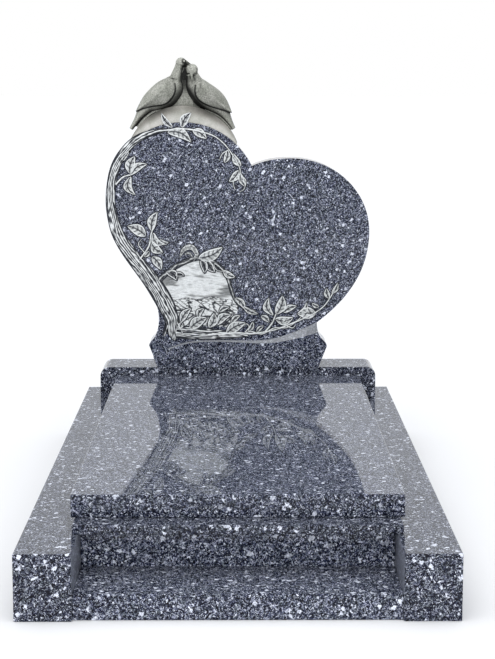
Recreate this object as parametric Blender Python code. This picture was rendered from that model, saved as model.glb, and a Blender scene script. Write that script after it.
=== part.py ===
"""Grave monument: a granite surround with a stepped front, a ledger of two slabs, a base and a
heart-shaped headstone carved with a tree and vine, under a cast pair of doves.

Metres, +Z up. The origin is on the ground at the middle of the surround, and the front faces -Y.
"""
import math

import bmesh
import bpy
from mathutils import Vector

# Surround: four kerbs round the plot and a low step between the side kerbs at the front
SURROUND_WIDTH = 1.000
SURROUND_LENGTH = 2.000
KERB_WIDTH = 0.130
KERB_HEIGHT = 0.155
CROSS_KERB_DEPTH = 0.080
STEP_HEIGHT = 0.060
STEP_SETBACK = 0.010
STEP_DEPTH = 0.220

# Ledger: a thin plate on the kerbs and a thicker slab on the plate
PLATE_BEARING = 0.013
PLATE_NOSING = 0.072
PLATE_THICKNESS = 0.022
SLAB_OVERHANG = 0.009
SLAB_SETBACK = 0.069
SLAB_THICKNESS = 0.055

# Base: the block across the kerbs that carries the headstone
BASE_SIDE_MARGIN = 0.056
BASE_REAR_MARGIN = 0.055
BASE_DEPTH = 0.159
BASE_HEIGHT = 0.104
BASE_CORNER = 0.028
BASE_CORNER_STEPS = 6

# Headstone: its outline and carving are shares of its height
HEADSTONE_HEIGHT = 0.784
HEADSTONE_THICKNESS = 0.100
FOOT_STEP = 0.017
FOOT_SETBACK = 0.003

# Doves: their forms are shares of their height above the lobe that they sit on
DOVES_HEIGHT = 0.204
DOVES_OFFSET = 0.002
SADDLE_INSET = 0.004

# Relief on the headstone's face
RELIEF_ROOT = 0.001
TRUNK_RELIEF = 0.006
BRANCH_RELIEF = 0.0035
LEAF_RELIEF = 0.004
LAND_RELIEF = 0.0025

# Joints between stones, and the eased edges of the slabs
JOINT_GAP = 0.0003
ARRIS = 0.002
SLAB_ARRIS = 0.005

FRONT_Y = -SURROUND_LENGTH / 2
REAR_Y = SURROUND_LENGTH / 2
INNER_WIDTH = SURROUND_WIDTH - 2 * KERB_WIDTH
CROSS_KERB_FRONT_Y = FRONT_Y + STEP_SETBACK + STEP_DEPTH
BASE_REAR_Y = REAR_Y - BASE_REAR_MARGIN
BASE_FRONT_Y = BASE_REAR_Y - BASE_DEPTH
PLATE_FRONT_Y = CROSS_KERB_FRONT_Y - PLATE_NOSING
SLAB_FRONT_Y = PLATE_FRONT_Y + SLAB_SETBACK
LEDGER_REAR_Y = BASE_FRONT_Y - JOINT_GAP
PLATE_WIDTH = INNER_WIDTH + 2 * PLATE_BEARING
SLAB_WIDTH = PLATE_WIDTH + 2 * SLAB_OVERHANG
BASE_WIDTH = SURROUND_WIDTH - 2 * BASE_SIDE_MARGIN
PLATE_BOTTOM_Z = KERB_HEIGHT + JOINT_GAP
SLAB_BOTTOM_Z = PLATE_BOTTOM_Z + PLATE_THICKNESS + JOINT_GAP
BASE_BOTTOM_Z = KERB_HEIGHT + JOINT_GAP
HEADSTONE_FACE_Y = BASE_FRONT_Y + FOOT_SETBACK + FOOT_STEP
HEADSTONE_BOTTOM_Z = BASE_BOTTOM_Z + BASE_HEIGHT + JOINT_GAP

# The headstone's drawing, in hundredths of its height: x from its middle, z from its underside
LEFT_LOBE_CENTRE_X = -22.45
LEFT_LOBE_RADIUS = 31.3
LEFT_LOBE_CENTRE_Z = 100 - LEFT_LOBE_RADIUS
NOTCH_ANGLE = 26.0
LOBE_ANGLE_STEP = 5.5
LOBE_STEPS = 28
WAIST_X = 32.5
LEFT_WAIST_Z = 20.0
RIGHT_WAIST_Z = 18.2
FOOT_FLARE = (35.7, 10.5)
FOOT_HEEL = (36.6, 8.6)
FOOT_TOE_X = 33.2
RIGHT_LOBE_TOP = (21.9, 85.5)
RIGHT_LOBE_SIDE = (53.7, 55.6)

# How far the curves of that drawing run straight on from their points before they turn
WAIST_LEAD = 4.0
FLARE_LEAD_IN = (-2.2, 2.0)
FLARE_LEAD_OUT = (0.3, -0.4)
HEEL_LEAD = 0.8
LEFT_SIDE_LEAD = 25.5
LEFT_WAIST_LEAD = 14.8
RIGHT_WAIST_LEAD = (12.0, 9.1)
RIGHT_SIDE_LEAD = 16.5
RIGHT_TOP_LEAD = 17.5
RIGHT_SHOULDER_LEAD = 6.4
NOTCH_LEAD = (5.0, 2.3)

# How many lengths each curve is cut into
LEFT_SIDE_STEPS = 14
RIGHT_SIDE_STEPS = 12
NOTCH_STEPS = 5
FLARE_STEPS = 6
HEEL_STEPS = 2
LEDGE_STEPS = 4

# The doves' drawing, in hundredths of their height: x from their middle, z from the lobe's top
SADDLE_RADIUS = 90.5
SADDLE_CENTRE_Z = -64.7
SADDLE_SPREAD = 75.0
SADDLE_STEPS = 24

# Surface colours, and how rough each finish is
GRANITE = (0.085, 0.092, 0.125, 1.0)
CAST_STONE = (0.47, 0.46, 0.42, 1.0)
POLISHED = 0.15
CAST = 0.7
WELD_DISTANCE = 1e-6


def clear_scene():
    """Remove every object that the file opened with."""
    for item in list(bpy.data.objects):
        bpy.data.objects.remove(item)


def material(name, colour, roughness):
    """A plain stone material."""
    stone = bpy.data.materials.new(name)
    stone.use_nodes = True
    shader = stone.node_tree.nodes["Principled BSDF"]
    shader.inputs["Base Color"].default_value = colour
    shader.inputs["Roughness"].default_value = roughness
    shader.inputs["Metallic"].default_value = 0.0
    return stone


def new_object(name, shape, location=(0.0, 0.0, 0.0)):
    """Turn a bmesh into a placed object with its faces pointing out."""
    bmesh.ops.recalc_face_normals(shape, faces=shape.faces)
    mesh = bpy.data.meshes.new(name)
    shape.to_mesh(mesh)
    shape.free()
    item = bpy.data.objects.new(name, mesh)
    item.location = location
    bpy.context.collection.objects.link(item)
    return item


def finish(item, colour, roughness, smooth=False):
    """Give a node its own material and shading."""
    item.data.materials.clear()
    item.data.materials.append(material(item.name, colour, roughness))
    for face in item.data.polygons:
        face.use_smooth = smooth


def bake(item):
    """Apply an object's modifiers and weld the seams that they leave."""
    bpy.context.view_layer.update()
    graph = bpy.context.evaluated_depsgraph_get()
    shape = bmesh.new()
    shape.from_mesh(bpy.data.meshes.new_from_object(item.evaluated_get(graph)))
    bmesh.ops.remove_doubles(shape, verts=shape.verts, dist=WELD_DISTANCE)
    bmesh.ops.dissolve_degenerate(shape, edges=shape.edges, dist=WELD_DISTANCE)
    item.modifiers.clear()
    shape.to_mesh(item.data)
    shape.free()


def combine(body, pieces, operation):
    """Join overlapping pieces to a body, or cut them from it, and drop the pieces."""
    for piece in pieces:
        step = body.modifiers.new(piece.name, "BOOLEAN")
        step.operation = operation
        step.solver = "EXACT"
        step.object = piece
    bake(body)
    for piece in pieces:
        bpy.data.objects.remove(piece)


def bezier(start, lead_out, lead_in, end, steps):
    """Points of a cubic curve from its start up to, but not with, its end."""
    points = []
    for step in range(steps):
        t = step / steps
        u = 1 - t
        weights = (u ** 3, 3 * u * u * t, 3 * u * t * t, t ** 3)
        corners = (start, lead_out, lead_in, end)
        points.append(tuple(sum(w * c[axis] for w, c in zip(weights, corners)) for axis in (0, 1)))
    return points


def smooth_route(knots, steps):
    """A smooth curve through all the knots, whose values are interpolated together."""
    route = []
    for index in range(len(knots) - 1):
        before = knots[max(index - 1, 0)]
        start = knots[index]
        end = knots[index + 1]
        after = knots[min(index + 2, len(knots) - 1)]
        for step in range(steps):
            t = step / steps
            route.append(tuple(
                0.5 * (2 * b + (c - a) * t + (2 * a - 5 * b + 4 * c - d) * t * t
                       + (3 * b - a - 3 * c + d) * t ** 3)
                for a, b, c, d in zip(before, start, end, after)))
    route.append(tuple(knots[-1]))
    return route


def arc(centre, radius, start_angle, end_angle, steps):
    """Points of an arc from its start to its end, both with it, angles in degrees."""
    points = []
    for step in range(steps + 1):
        angle = math.radians(start_angle + (end_angle - start_angle) * step / steps)
        points.append((centre[0] + radius * math.cos(angle), centre[1] + radius * math.sin(angle)))
    return points


def block(name, width, depth, height, centre_x, front_y, bottom_z, arris):
    """A squared stone with eased edges, placed by its middle, its front and its underside."""
    shape = bmesh.new()
    bmesh.ops.create_cube(shape, size=1.0)
    bmesh.ops.scale(shape, vec=(width, depth, height), verts=shape.verts)
    bmesh.ops.bevel(shape, geom=list(shape.edges), offset=arris, segments=1, affect="EDGES")
    place = (centre_x, front_y + depth / 2, bottom_z + height / 2)
    return new_object(name, shape, place)


def prism(name, outline, front, back, location=(0.0, 0.0, 0.0)):
    """An outline in x and z, made solid between two depths."""
    shape = bmesh.new()
    near = [shape.verts.new((x, front, z)) for x, z in outline]
    far = [shape.verts.new((x, back, z)) for x, z in outline]
    shape.faces.new(near)
    shape.faces.new(list(reversed(far)))
    count = len(outline)
    for index in range(count):
        after = (index + 1) % count
        shape.faces.new((near[after], near[index], far[index], far[after]))
    return new_object(name, shape, location)


def loft(name, rings, location=(0.0, 0.0, 0.0)):
    """A solid through rings of equal count, closed flat at both ends."""
    shape = bmesh.new()
    loops = [[shape.verts.new(point) for point in ring] for ring in rings]
    count = len(rings[0])
    for lower, upper in zip(loops, loops[1:]):
        for index in range(count):
            after = (index + 1) % count
            shape.faces.new((lower[index], lower[after], upper[after], upper[index]))
    shape.faces.new(list(reversed(loops[0])))
    shape.faces.new(loops[-1])
    return new_object(name, shape, location)


# Surround and ledger

def make_surround():
    """The kerbs and the low step in front."""
    side_x = (SURROUND_WIDTH - KERB_WIDTH) / 2
    cross_width = INNER_WIDTH - 2 * JOINT_GAP
    stones = (
        block("kerb_left", KERB_WIDTH, SURROUND_LENGTH, KERB_HEIGHT, -side_x, FRONT_Y, 0.0, ARRIS),
        block("kerb_right", KERB_WIDTH, SURROUND_LENGTH, KERB_HEIGHT, side_x, FRONT_Y, 0.0, ARRIS),
        block("kerb_front", cross_width, CROSS_KERB_DEPTH, KERB_HEIGHT,
              0.0, CROSS_KERB_FRONT_Y, 0.0, ARRIS),
        block("kerb_back", cross_width, CROSS_KERB_DEPTH, KERB_HEIGHT,
              0.0, REAR_Y - CROSS_KERB_DEPTH, 0.0, ARRIS),
        block("front_step", cross_width, STEP_DEPTH - JOINT_GAP, STEP_HEIGHT,
              0.0, FRONT_Y + STEP_SETBACK, 0.0, ARRIS))
    for stone in stones:
        finish(stone, GRANITE, POLISHED)


def make_ledger():
    """The thin plate and the slab that lies on it."""
    plate = block("ledger_plate", PLATE_WIDTH, LEDGER_REAR_Y - PLATE_FRONT_Y, PLATE_THICKNESS,
                  0.0, PLATE_FRONT_Y, PLATE_BOTTOM_Z, ARRIS)
    slab = block("ledger_slab", SLAB_WIDTH, LEDGER_REAR_Y - SLAB_FRONT_Y, SLAB_THICKNESS,
                 0.0, SLAB_FRONT_Y, SLAB_BOTTOM_Z, SLAB_ARRIS)
    for stone in (plate, slab):
        finish(stone, GRANITE, POLISHED)


def make_base():
    """The block under the headstone, with its two upper corners rounded."""
    half = BASE_WIDTH / 2
    turn_x = half - BASE_CORNER
    turn_z = BASE_HEIGHT - BASE_CORNER
    outline = [(-half, 0.0), (half, 0.0)]
    outline += arc((turn_x, turn_z), BASE_CORNER, 0, 90, BASE_CORNER_STEPS)
    outline += arc((-turn_x, turn_z), BASE_CORNER, 90, 180, BASE_CORNER_STEPS)
    base = prism("headstone_base", outline, 0.0, BASE_DEPTH, (0.0, BASE_FRONT_Y, BASE_BOTTOM_Z))
    finish(base, GRANITE, POLISHED)


# Headstone outline

def on_stone(x, z):
    """A place on the headstone's drawing as metres."""
    return x * HEADSTONE_HEIGHT / 100, z * HEADSTONE_HEIGHT / 100


def foot_side(waist_z):
    """One side of the foot, from its waist down to its toe, for the right-hand side."""
    waist = (WAIST_X, waist_z)
    flare_x, flare_z = FOOT_FLARE
    heel_x, heel_z = FOOT_HEEL
    side = bezier(waist, (WAIST_X, waist_z - WAIST_LEAD),
                  (flare_x + FLARE_LEAD_IN[0], flare_z + FLARE_LEAD_IN[1]), FOOT_FLARE, FLARE_STEPS)
    side += bezier(FOOT_FLARE, (flare_x + FLARE_LEAD_OUT[0], flare_z + FLARE_LEAD_OUT[1]),
                   (heel_x, heel_z + HEEL_LEAD), FOOT_HEEL, HEEL_STEPS)
    side += [FOOT_HEEL, (FOOT_TOE_X, 0.0)]
    return side


def headstone_outline():
    """The leaning heart on its flared foot, in the drawing's hundredths."""
    lobe_centre = (LEFT_LOBE_CENTRE_X, LEFT_LOBE_CENTRE_Z)
    lobe_end = NOTCH_ANGLE + LOBE_ANGLE_STEP * LOBE_STEPS
    outline = arc(lobe_centre, LEFT_LOBE_RADIUS, NOTCH_ANGLE, lobe_end, LOBE_STEPS)
    notch = outline[0]
    side = outline.pop()
    outline += bezier(side, (side[0], side[1] - LEFT_SIDE_LEAD),
                      (-WAIST_X, LEFT_WAIST_Z + LEFT_WAIST_LEAD),
                      (-WAIST_X, LEFT_WAIST_Z), LEFT_SIDE_STEPS)
    outline += [(-x, z) for x, z in foot_side(LEFT_WAIST_Z)]
    right_foot = list(reversed(foot_side(RIGHT_WAIST_Z)))
    outline += right_foot[:-1]
    cusp = right_foot[-1]
    side_x, side_z = RIGHT_LOBE_SIDE
    top_x, top_z = RIGHT_LOBE_TOP
    outline += bezier(cusp, (cusp[0] + RIGHT_WAIST_LEAD[0], cusp[1] + RIGHT_WAIST_LEAD[1]),
                      (side_x, side_z - RIGHT_SIDE_LEAD), RIGHT_LOBE_SIDE, RIGHT_SIDE_STEPS)
    outline += bezier(RIGHT_LOBE_SIDE, (side_x, side_z + RIGHT_SIDE_LEAD),
                      (top_x + RIGHT_TOP_LEAD, top_z), RIGHT_LOBE_TOP, RIGHT_SIDE_STEPS)
    outline += bezier(RIGHT_LOBE_TOP, (top_x - RIGHT_SHOULDER_LEAD, top_z),
                      (notch[0] + NOTCH_LEAD[0], notch[1] + NOTCH_LEAD[1]), notch, NOTCH_STEPS)
    return outline


# The foot's upper edge on its front, and the line where its slope meets the heart's face
LEDGE_FRONT = ((-60.0, -2.0), (-42.0, 0.5), (-30.4, 6.4), (-20.2, 9.8), (-8.0, 10.5), (9.8, 9.8),
               (22.0, 11.3), (32.2, 14.1), (42.0, 16.5), (60.0, 19.0))
LEDGE_BACK = ((-60.0, -1.7), (-42.0, 0.8), (-30.4, 6.7), (-20.2, 10.1), (-8.0, 10.8), (11.0, 10.9),
              (22.0, 13.8), (32.2, 18.1), (42.0, 22.5), (60.0, 26.0))


def ledge_cutter():
    """The space in front of the heart, above the sloping top of its foot."""
    front = smooth_route(LEDGE_FRONT, LEDGE_STEPS)
    back = smooth_route(LEDGE_BACK, LEDGE_STEPS)
    rings = []
    for near, far in zip(front, back):
        x, near_z = on_stone(*near)
        far_x, far_z = on_stone(*far)
        rise = far_z - near_z
        top = HEADSTONE_HEIGHT + FOOT_STEP
        rings.append(((x, -2 * FOOT_STEP, near_z - rise), (far_x, 0.0, far_z),
                      (far_x, 0.0, top), (x, -2 * FOOT_STEP, top)))
    return loft("ledge_space", rings)


# Carving on the headstone's face, in the drawing's hundredths

TRUNK = ((-26.1, 10.9, 0.5), (-27.0, 14.5, 2.0), (-27.6, 20.5, 2.8), (-30.6, 27.6, 3.4),
         (-35.6, 35.7, 3.2), (-41.8, 43.9, 2.8), (-46.8, 51.0, 2.5), (-50.1, 58.0, 2.1),
         (-51.8, 68.7, 1.7), (-50.1, 80.6, 1.7), (-45.7, 88.6, 1.6), (-39.4, 94.0, 1.3),
         (-29.4, 97.2, 0.7))
TRUNK_STEPS = 2
TRUNK_RIDGES = 3
BRANCH_STEPS = 3
BRANCH_RIDGES = 1
RIDGE_DIP = 0.55

# Branches: knots along each, with half its width there
TOP_VINE = ((-31.0, 97.0, 0.5), (-21.3, 97.5, 0.5), (-11.2, 95.2, 0.4), (-6.0, 91.8, 0.4),
            (-2.6, 87.6, 0.4), (0.6, 82.0, 0.4), (1.6, 76.5, 0.3))
ARCH = ((-32.5, 35.6, 1.0), (-25.7, 41.2, 0.9), (-16.5, 44.8, 0.8), (-8.6, 42.4, 0.7),
        (-4.2, 36.7, 0.6), (-2.2, 30.0, 0.6), (0.8, 25.4, 0.4), (7.4, 23.0, 0.3))
LOW_VINE = ((-8.0, 12.9, 0.5), (2.9, 13.8, 0.6), (11.2, 14.3, 0.6), (19.5, 16.7, 0.5),
            (27.6, 20.1, 0.4), (34.3, 24.0, 0.4), (38.1, 28.8, 0.3), (40.5, 34.0, 0.3))
LEFT_STALK = ((-40.8, 43.5, 0.4), (-36.5, 49.5, 0.4), (-35.3, 55.0, 0.4), (-33.4, 60.5, 0.3))
PAIR_STALK = ((-49.6, 74.9, 0.4), (-46.6, 77.9, 0.4), (-42.9, 79.0, 0.3))
SPUR = ((11.2, 14.3, 0.4), (14.0, 17.8, 0.4), (15.6, 21.6, 0.3))
ROOTS = (((-25.8, 16.3, 0.5), (-16.0, 15.3, 0.7), (-6.5, 14.4, 0.5)),
         ((-25.9, 14.4, 0.5), (-16.0, 13.6, 0.6), (-9.5, 13.2, 0.4)),
         ((-26.2, 12.7, 0.4), (-17.0, 12.2, 0.4), (-10.0, 12.0, 0.3)))

# Leaves: the stalk's end, the tip and half the width
CROWN_LEAVES = ((-26.8, 98.2, -30.9, 103.6, 1.7), (-22.5, 98.2, -19.0, 103.8, 2.0),
                (-28.4, 96.2, -18.8, 92.0, 2.1), (-18.2, 97.0, -12.6, 93.4, 1.8),
                (-5.3, 83.8, -4.2, 89.2, 1.3), (1.2, 82.4, -1.9, 87.6, 1.4),
                (0.4, 80.6, -3.6, 76.0, 1.6), (1.0, 79.4, 3.2, 74.0, 1.2))
LEFT_LEAVES = ((-43.8, 79.4, -41.8, 86.4, 2.1), (-43.4, 79.0, -36.7, 83.2, 1.7),
               (-43.6, 78.2, -41.6, 70.6, 1.8), (-37.6, 54.0, -45.0, 58.0, 2.3),
               (-35.2, 56.0, -32.8, 63.8, 1.9), (-34.6, 55.2, -29.6, 50.6, 1.7),
               (-35.2, 51.2, -30.6, 47.0, 1.8), (-35.0, 45.4, -31.4, 40.0, 1.7))
ARCH_LEAVES = ((-19.2, 44.6, -24.6, 48.2, 1.6), (-16.0, 44.8, -6.2, 49.3, 2.3),
               (-6.0, 39.6, -1.0, 37.0, 1.4), (-15.6, 43.2, -8.4, 37.0, 1.7),
               (-28.4, 38.2, -22.6, 35.6, 1.8), (-1.0, 28.4, 3.0, 23.6, 1.3),
               (2.2, 24.8, 8.4, 21.8, 1.0))
LOW_LEAVES = ((-24.0, 19.6, -19.8, 24.2, 1.3), (-20.4, 16.2, -12.8, 20.2, 1.9),
              (-12.6, 16.4, -10.4, 22.0, 1.7), (-9.2, 17.2, -3.4, 21.6, 1.8),
              (-4.8, 14.2, 3.2, 17.8, 1.8), (14.4, 21.2, 12.8, 28.6, 1.5),
              (15.8, 21.6, 18.4, 29.4, 1.9), (18.8, 22.4, 24.2, 25.0, 1.5),
              (15.6, 19.6, 23.0, 20.0, 1.7), (9.6, 20.9, 12.9, 18.2, 1.2),
              (32.4, 22.6, 25.3, 21.4, 1.9), (25.4, 20.6, 28.4, 26.4, 1.3),
              (33.2, 24.0, 30.6, 26.4, 1.0), (37.4, 28.2, 36.4, 32.4, 1.2),
              (38.6, 30.2, 41.0, 34.6, 1.0))

# Hills under the arch: left end, right end, foot and crest
HILLS = ((-25.6, -8.0, 25.2, 29.4), (-14.0, -1.8, 24.7, 31.0), (-24.3, -4.4, 21.6, 26.1))
HILL_STEPS = 8
HILL_FULLNESS = 0.7
HILL_FALL = 0.2

# Leaves: how many lengths, where they are widest, and their height along the rib and at the ends
LEAF_STEPS = 5
LEAF_WIDEST = 0.8
LEAF_RIB = 0.5
LEAF_ENDS = 0.7


def face_point(x, z, height):
    """A place on the headstone's face, standing out by a height in metres."""
    across, up = on_stone(x, z)
    return across, -height, up


def sideways(route, index):
    """The unit direction across a route at one of its points."""
    before = route[max(index - 1, 0)]
    after = route[min(index + 1, len(route) - 1)]
    along = Vector((after[0] - before[0], after[1] - before[1])).normalized()
    return -along.y, along.x


def strand(name, knots, steps, relief, ridges):
    """A carved stem that follows its knots, with ridges along it."""
    route = smooth_route(knots, steps)
    rings = []
    lanes = 2 * ridges
    for index, (x, z, half) in enumerate(route):
        across_x, across_z = sideways(route, index)
        ring = [face_point(x - half * across_x, z - half * across_z, -RELIEF_ROOT)]
        for lane in range(lanes + 1):
            side = 2 * lane / lanes - 1
            height = relief if lane % 2 else relief * RIDGE_DIP
            ring.append(face_point(x + side * half * across_x, z + side * half * across_z, height))
        ring.append(face_point(x + half * across_x, z + half * across_z, -RELIEF_ROOT))
        rings.append(ring)
    return loft(name, rings)


def leaf(name, stalk_x, stalk_z, tip_x, tip_z, half_width):
    """A carved leaf with a raised rim and a sunk midrib."""
    along = Vector((tip_x - stalk_x, tip_z - stalk_z))
    across = Vector((-along.y, along.x)).normalized()
    middle = []
    left = []
    right = []
    for step in range(1, LEAF_STEPS + 1):
        share = step / (LEAF_STEPS + 1)
        spread = half_width * math.sin(math.pi * share ** LEAF_WIDEST)
        centre = Vector((stalk_x, stalk_z)) + along * share
        middle.append(face_point(centre.x, centre.y, LEAF_RIB * LEAF_RELIEF))
        left.append(centre + across * spread)
        right.append(centre - across * spread)
    shape = bmesh.new()
    stalk = shape.verts.new(face_point(stalk_x, stalk_z, LEAF_ENDS * LEAF_RELIEF))
    tip = shape.verts.new(face_point(tip_x, tip_z, LEAF_ENDS * LEAF_RELIEF))
    stalk_root = shape.verts.new(face_point(stalk_x, stalk_z, -RELIEF_ROOT))
    tip_root = shape.verts.new(face_point(tip_x, tip_z, -RELIEF_ROOT))
    rib = [shape.verts.new(point) for point in middle]
    rims = [[shape.verts.new(face_point(p.x, p.y, LEAF_RELIEF)) for p in edge]
            for edge in (left, right)]
    roots = [[shape.verts.new(face_point(p.x, p.y, -RELIEF_ROOT)) for p in edge]
             for edge in (left, right)]
    for rim, root in zip(rims, roots):
        top_line = [stalk] + rim + [tip]
        rib_line = [stalk] + rib + [tip]
        root_line = [stalk_root] + root + [tip_root]
        for step in range(LEAF_STEPS + 1):
            inner = dict.fromkeys((rib_line[step], top_line[step],
                                   top_line[step + 1], rib_line[step + 1]))
            shape.faces.new(list(inner))
            shape.faces.new((top_line[step], root_line[step],
                             root_line[step + 1], top_line[step + 1]))
    shape.faces.new([stalk_root] + roots[0] + [tip_root] + list(reversed(roots[1])))
    return new_object(name, shape)


def hill(name, left_x, right_x, foot_z, crest_z, relief):
    """A rounded hill of the small landscape, in low relief."""
    outline = [(left_x, foot_z), (right_x, foot_z)]
    for step in range(1, HILL_STEPS):
        share = step / HILL_STEPS
        rise = (crest_z - foot_z) * math.sin(math.pi * share) ** HILL_FULLNESS
        outline.append((right_x + (left_x - right_x) * share, foot_z + rise))
    return prism(name, [on_stone(x, z) for x, z in outline], -relief, RELIEF_ROOT)


def make_headstone():
    """The heart-shaped stone with its tree, vines, leaves and hills."""
    outline = [on_stone(x, z) for x, z in headstone_outline()]
    stone = prism("headstone", outline, -FOOT_STEP, HEADSTONE_THICKNESS)
    combine(stone, [ledge_cutter()], "DIFFERENCE")
    carving = [hill(f"hill_{index}", *sizes, LAND_RELIEF * (1 - HILL_FALL * index))
               for index, sizes in enumerate(HILLS)]
    carving.append(strand("trunk", TRUNK, TRUNK_STEPS, TRUNK_RELIEF, TRUNK_RIDGES))
    branches = [TOP_VINE, ARCH, LOW_VINE, LEFT_STALK, PAIR_STALK, SPUR]
    for index, knots in enumerate(branches):
        carving.append(strand(f"branch_{index}", knots, BRANCH_STEPS, BRANCH_RELIEF, BRANCH_RIDGES))
    for index, knots in enumerate(ROOTS):
        carving.append(strand(f"root_{index}", knots, BRANCH_STEPS, BRANCH_RELIEF, BRANCH_RIDGES))
    for index, sizes in enumerate(CROWN_LEAVES + LEFT_LEAVES + ARCH_LEAVES + LOW_LEAVES):
        carving.append(leaf(f"leaf_{index}", *sizes))
    combine(stone, carving, "UNION")
    stone.location = (0.0, HEADSTONE_FACE_Y, HEADSTONE_BOTTOM_Z)
    finish(stone, GRANITE, POLISHED)


# Doves, in hundredths of their height: x, z, half height, half width and shift to the back

LEFT_BODY = ((-80.4, -12.2, 3.0, 7.0, 0.0), (-72.5, 3.3, 5.0, 9.5, 0.0),
             (-66.2, 12.5, 8.0, 12.5, 0.0), (-53.4, 26.5, 13.7, 18.0, 0.0),
             (-37.7, 35.3, 19.0, 21.5, 0.0), (-24.5, 44.1, 20.0, 22.0, 0.0),
             (-15.0, 53.4, 17.0, 19.0, 0.0), (-11.3, 66.2, 10.8, 13.0, 0.0),
             (-7.1, 79.9, 8.0, 8.6, 0.0), (-3.9, 90.2, 7.1, 7.4, 0.0))
RIGHT_BODY = ((78.4, -12.2, 3.4, 7.0, 0.0), (72.0, 0.0, 5.6, 9.5, 0.0),
              (65.7, 9.6, 9.0, 12.5, 0.0), (55.9, 23.0, 15.2, 18.0, 0.0),
              (41.7, 35.5, 20.0, 21.5, 0.0), (29.4, 45.8, 20.2, 22.0, 0.0),
              (20.1, 55.9, 16.2, 19.0, -1.0), (16.2, 65.7, 12.2, 14.0, -2.0),
              (14.2, 74.5, 9.3, 10.0, -4.0))
LEFT_HEAD = (-2.4, 92.2, 7.6, 0.0)
RIGHT_HEAD = (13.5, 79.0, 8.8, -6.0)
LEFT_BEAK = ((2.0, 93.6, 3.4, 3.4, 0.0), (8.5, 90.6, 2.0, 1.8, 0.0), (14.0, 88.0, 0.5, 0.5, 0.0))
RIGHT_BEAK = ((13.0, 75.0, 4.2, 4.2, -12.0), (12.6, 67.0, 2.4, 2.4, -15.0),
              (12.2, 59.5, 0.6, 0.6, -15.0))
LEFT_WING = ((-71.5, 15.6, 9.0), (-52.1, 23.5, 16.8), (-28.5, 28.2, 21.2), (-17.5, 37.4, 21.5),
             (-12.0, 48.3, 19.0), (-12.2, 58.0, 15.0), (-16.5, 67.0, 10.0), (-28.5, 65.6, 9.0),
             (-39.5, 60.2, 8.5), (-51.5, 49.8, 8.0), (-63.0, 36.4, 7.0))
RIGHT_WING = ((74.2, 12.4, 9.0), (55.0, 20.6, 16.8), (38.7, 26.6, 21.0), (25.7, 34.3, 21.8),
              (19.3, 45.2, 19.5), (20.1, 56.1, 15.5), (28.5, 61.5, 10.0), (42.0, 55.5, 9.0),
              (56.5, 45.5, 8.0), (67.0, 33.0, 7.0))
WING_CROWN = 25.0
WING_RINGS = (0.3, 0.7, 1.0)
LEFT_UNDER = ((-34.0, 19.5, 2.6, 12.0, 0.0), (-47.6, 14.4, 3.6, 12.0, 0.0),
              (-59.9, 4.6, 3.4, 10.0, 0.0), (-71.5, -8.6, 2.6, 7.0, 0.0))
RIGHT_UNDER = ((34.0, 19.0, 2.6, 12.0, 0.0), (45.0, 14.6, 2.8, 12.0, 0.0), (57.6, 7.4, 3.6, 11.0, 0.0),
               (68.1, -3.0, 3.2, 9.0, 0.0), (75.0, -11.8, 2.4, 7.0, 0.0))
LIMB_STEPS = 2
BODY_SIDES = 16
BEAK_SIDES = 8
HEAD_RINGS = 10

# The wall between the two breasts, as x and z
WEB = ((3.0, 84.0), (-1.5, 70.0), (-2.5, 50.0), (-16.0, 20.0), (20.0, 20.0), (9.0, 50.0), (7.0, 72.0),
       (6.0, 84.0))
WEB_HALF_DEPTH = 7.0


def on_doves(x, y, z):
    """A place on the doves' drawing as metres."""
    unit = DOVES_HEIGHT / 100
    return x * unit, y * unit, z * unit


def limb(name, stations, sides):
    """A rounded form through stations that each give a place and an ellipse."""
    route = smooth_route(stations, LIMB_STEPS)
    rings = []
    for index, (x, z, half_height, half_width, shift) in enumerate(route):
        across_x, across_z = sideways(route, index)
        ring = []
        for side in range(sides):
            angle = 2 * math.pi * side / sides
            reach = half_height * math.cos(angle)
            ring.append(on_doves(x + reach * across_x, shift + half_width * math.sin(angle),
                                 z + reach * across_z))
        rings.append(ring)
    return loft(name, rings)


def ball(name, x, z, radius, shift):
    """A round head."""
    shape = bmesh.new()
    size = radius * DOVES_HEIGHT / 100
    bmesh.ops.create_uvsphere(shape, u_segments=BODY_SIDES, v_segments=HEAD_RINGS, radius=size)
    bmesh.ops.translate(shape, vec=on_doves(x, shift, z), verts=shape.verts)
    return new_object(name, shape)


def wings(name, outline):
    """Both folded wings as one pillow through the body, from its outline and half depths."""
    rim = smooth_route(outline + (outline[0],), LIMB_STEPS)[:-1]
    centre_x = sum(point[0] for point in rim) / len(rim)
    centre_z = sum(point[1] for point in rim) / len(rim)
    rings = []
    for share in WING_RINGS:
        swell = 1 - share ** 2
        rings.append([(centre_x + (x - centre_x) * share,
                       depth + (WING_CROWN - depth) * swell,
                       centre_z + (z - centre_z) * share) for x, z, depth in rim])
    near = [[on_doves(x, -depth, z) for x, depth, z in ring] for ring in rings]
    far = [[on_doves(x, depth, z) for x, depth, z in ring] for ring in reversed(rings)]
    return loft(name, near + far)


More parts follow.
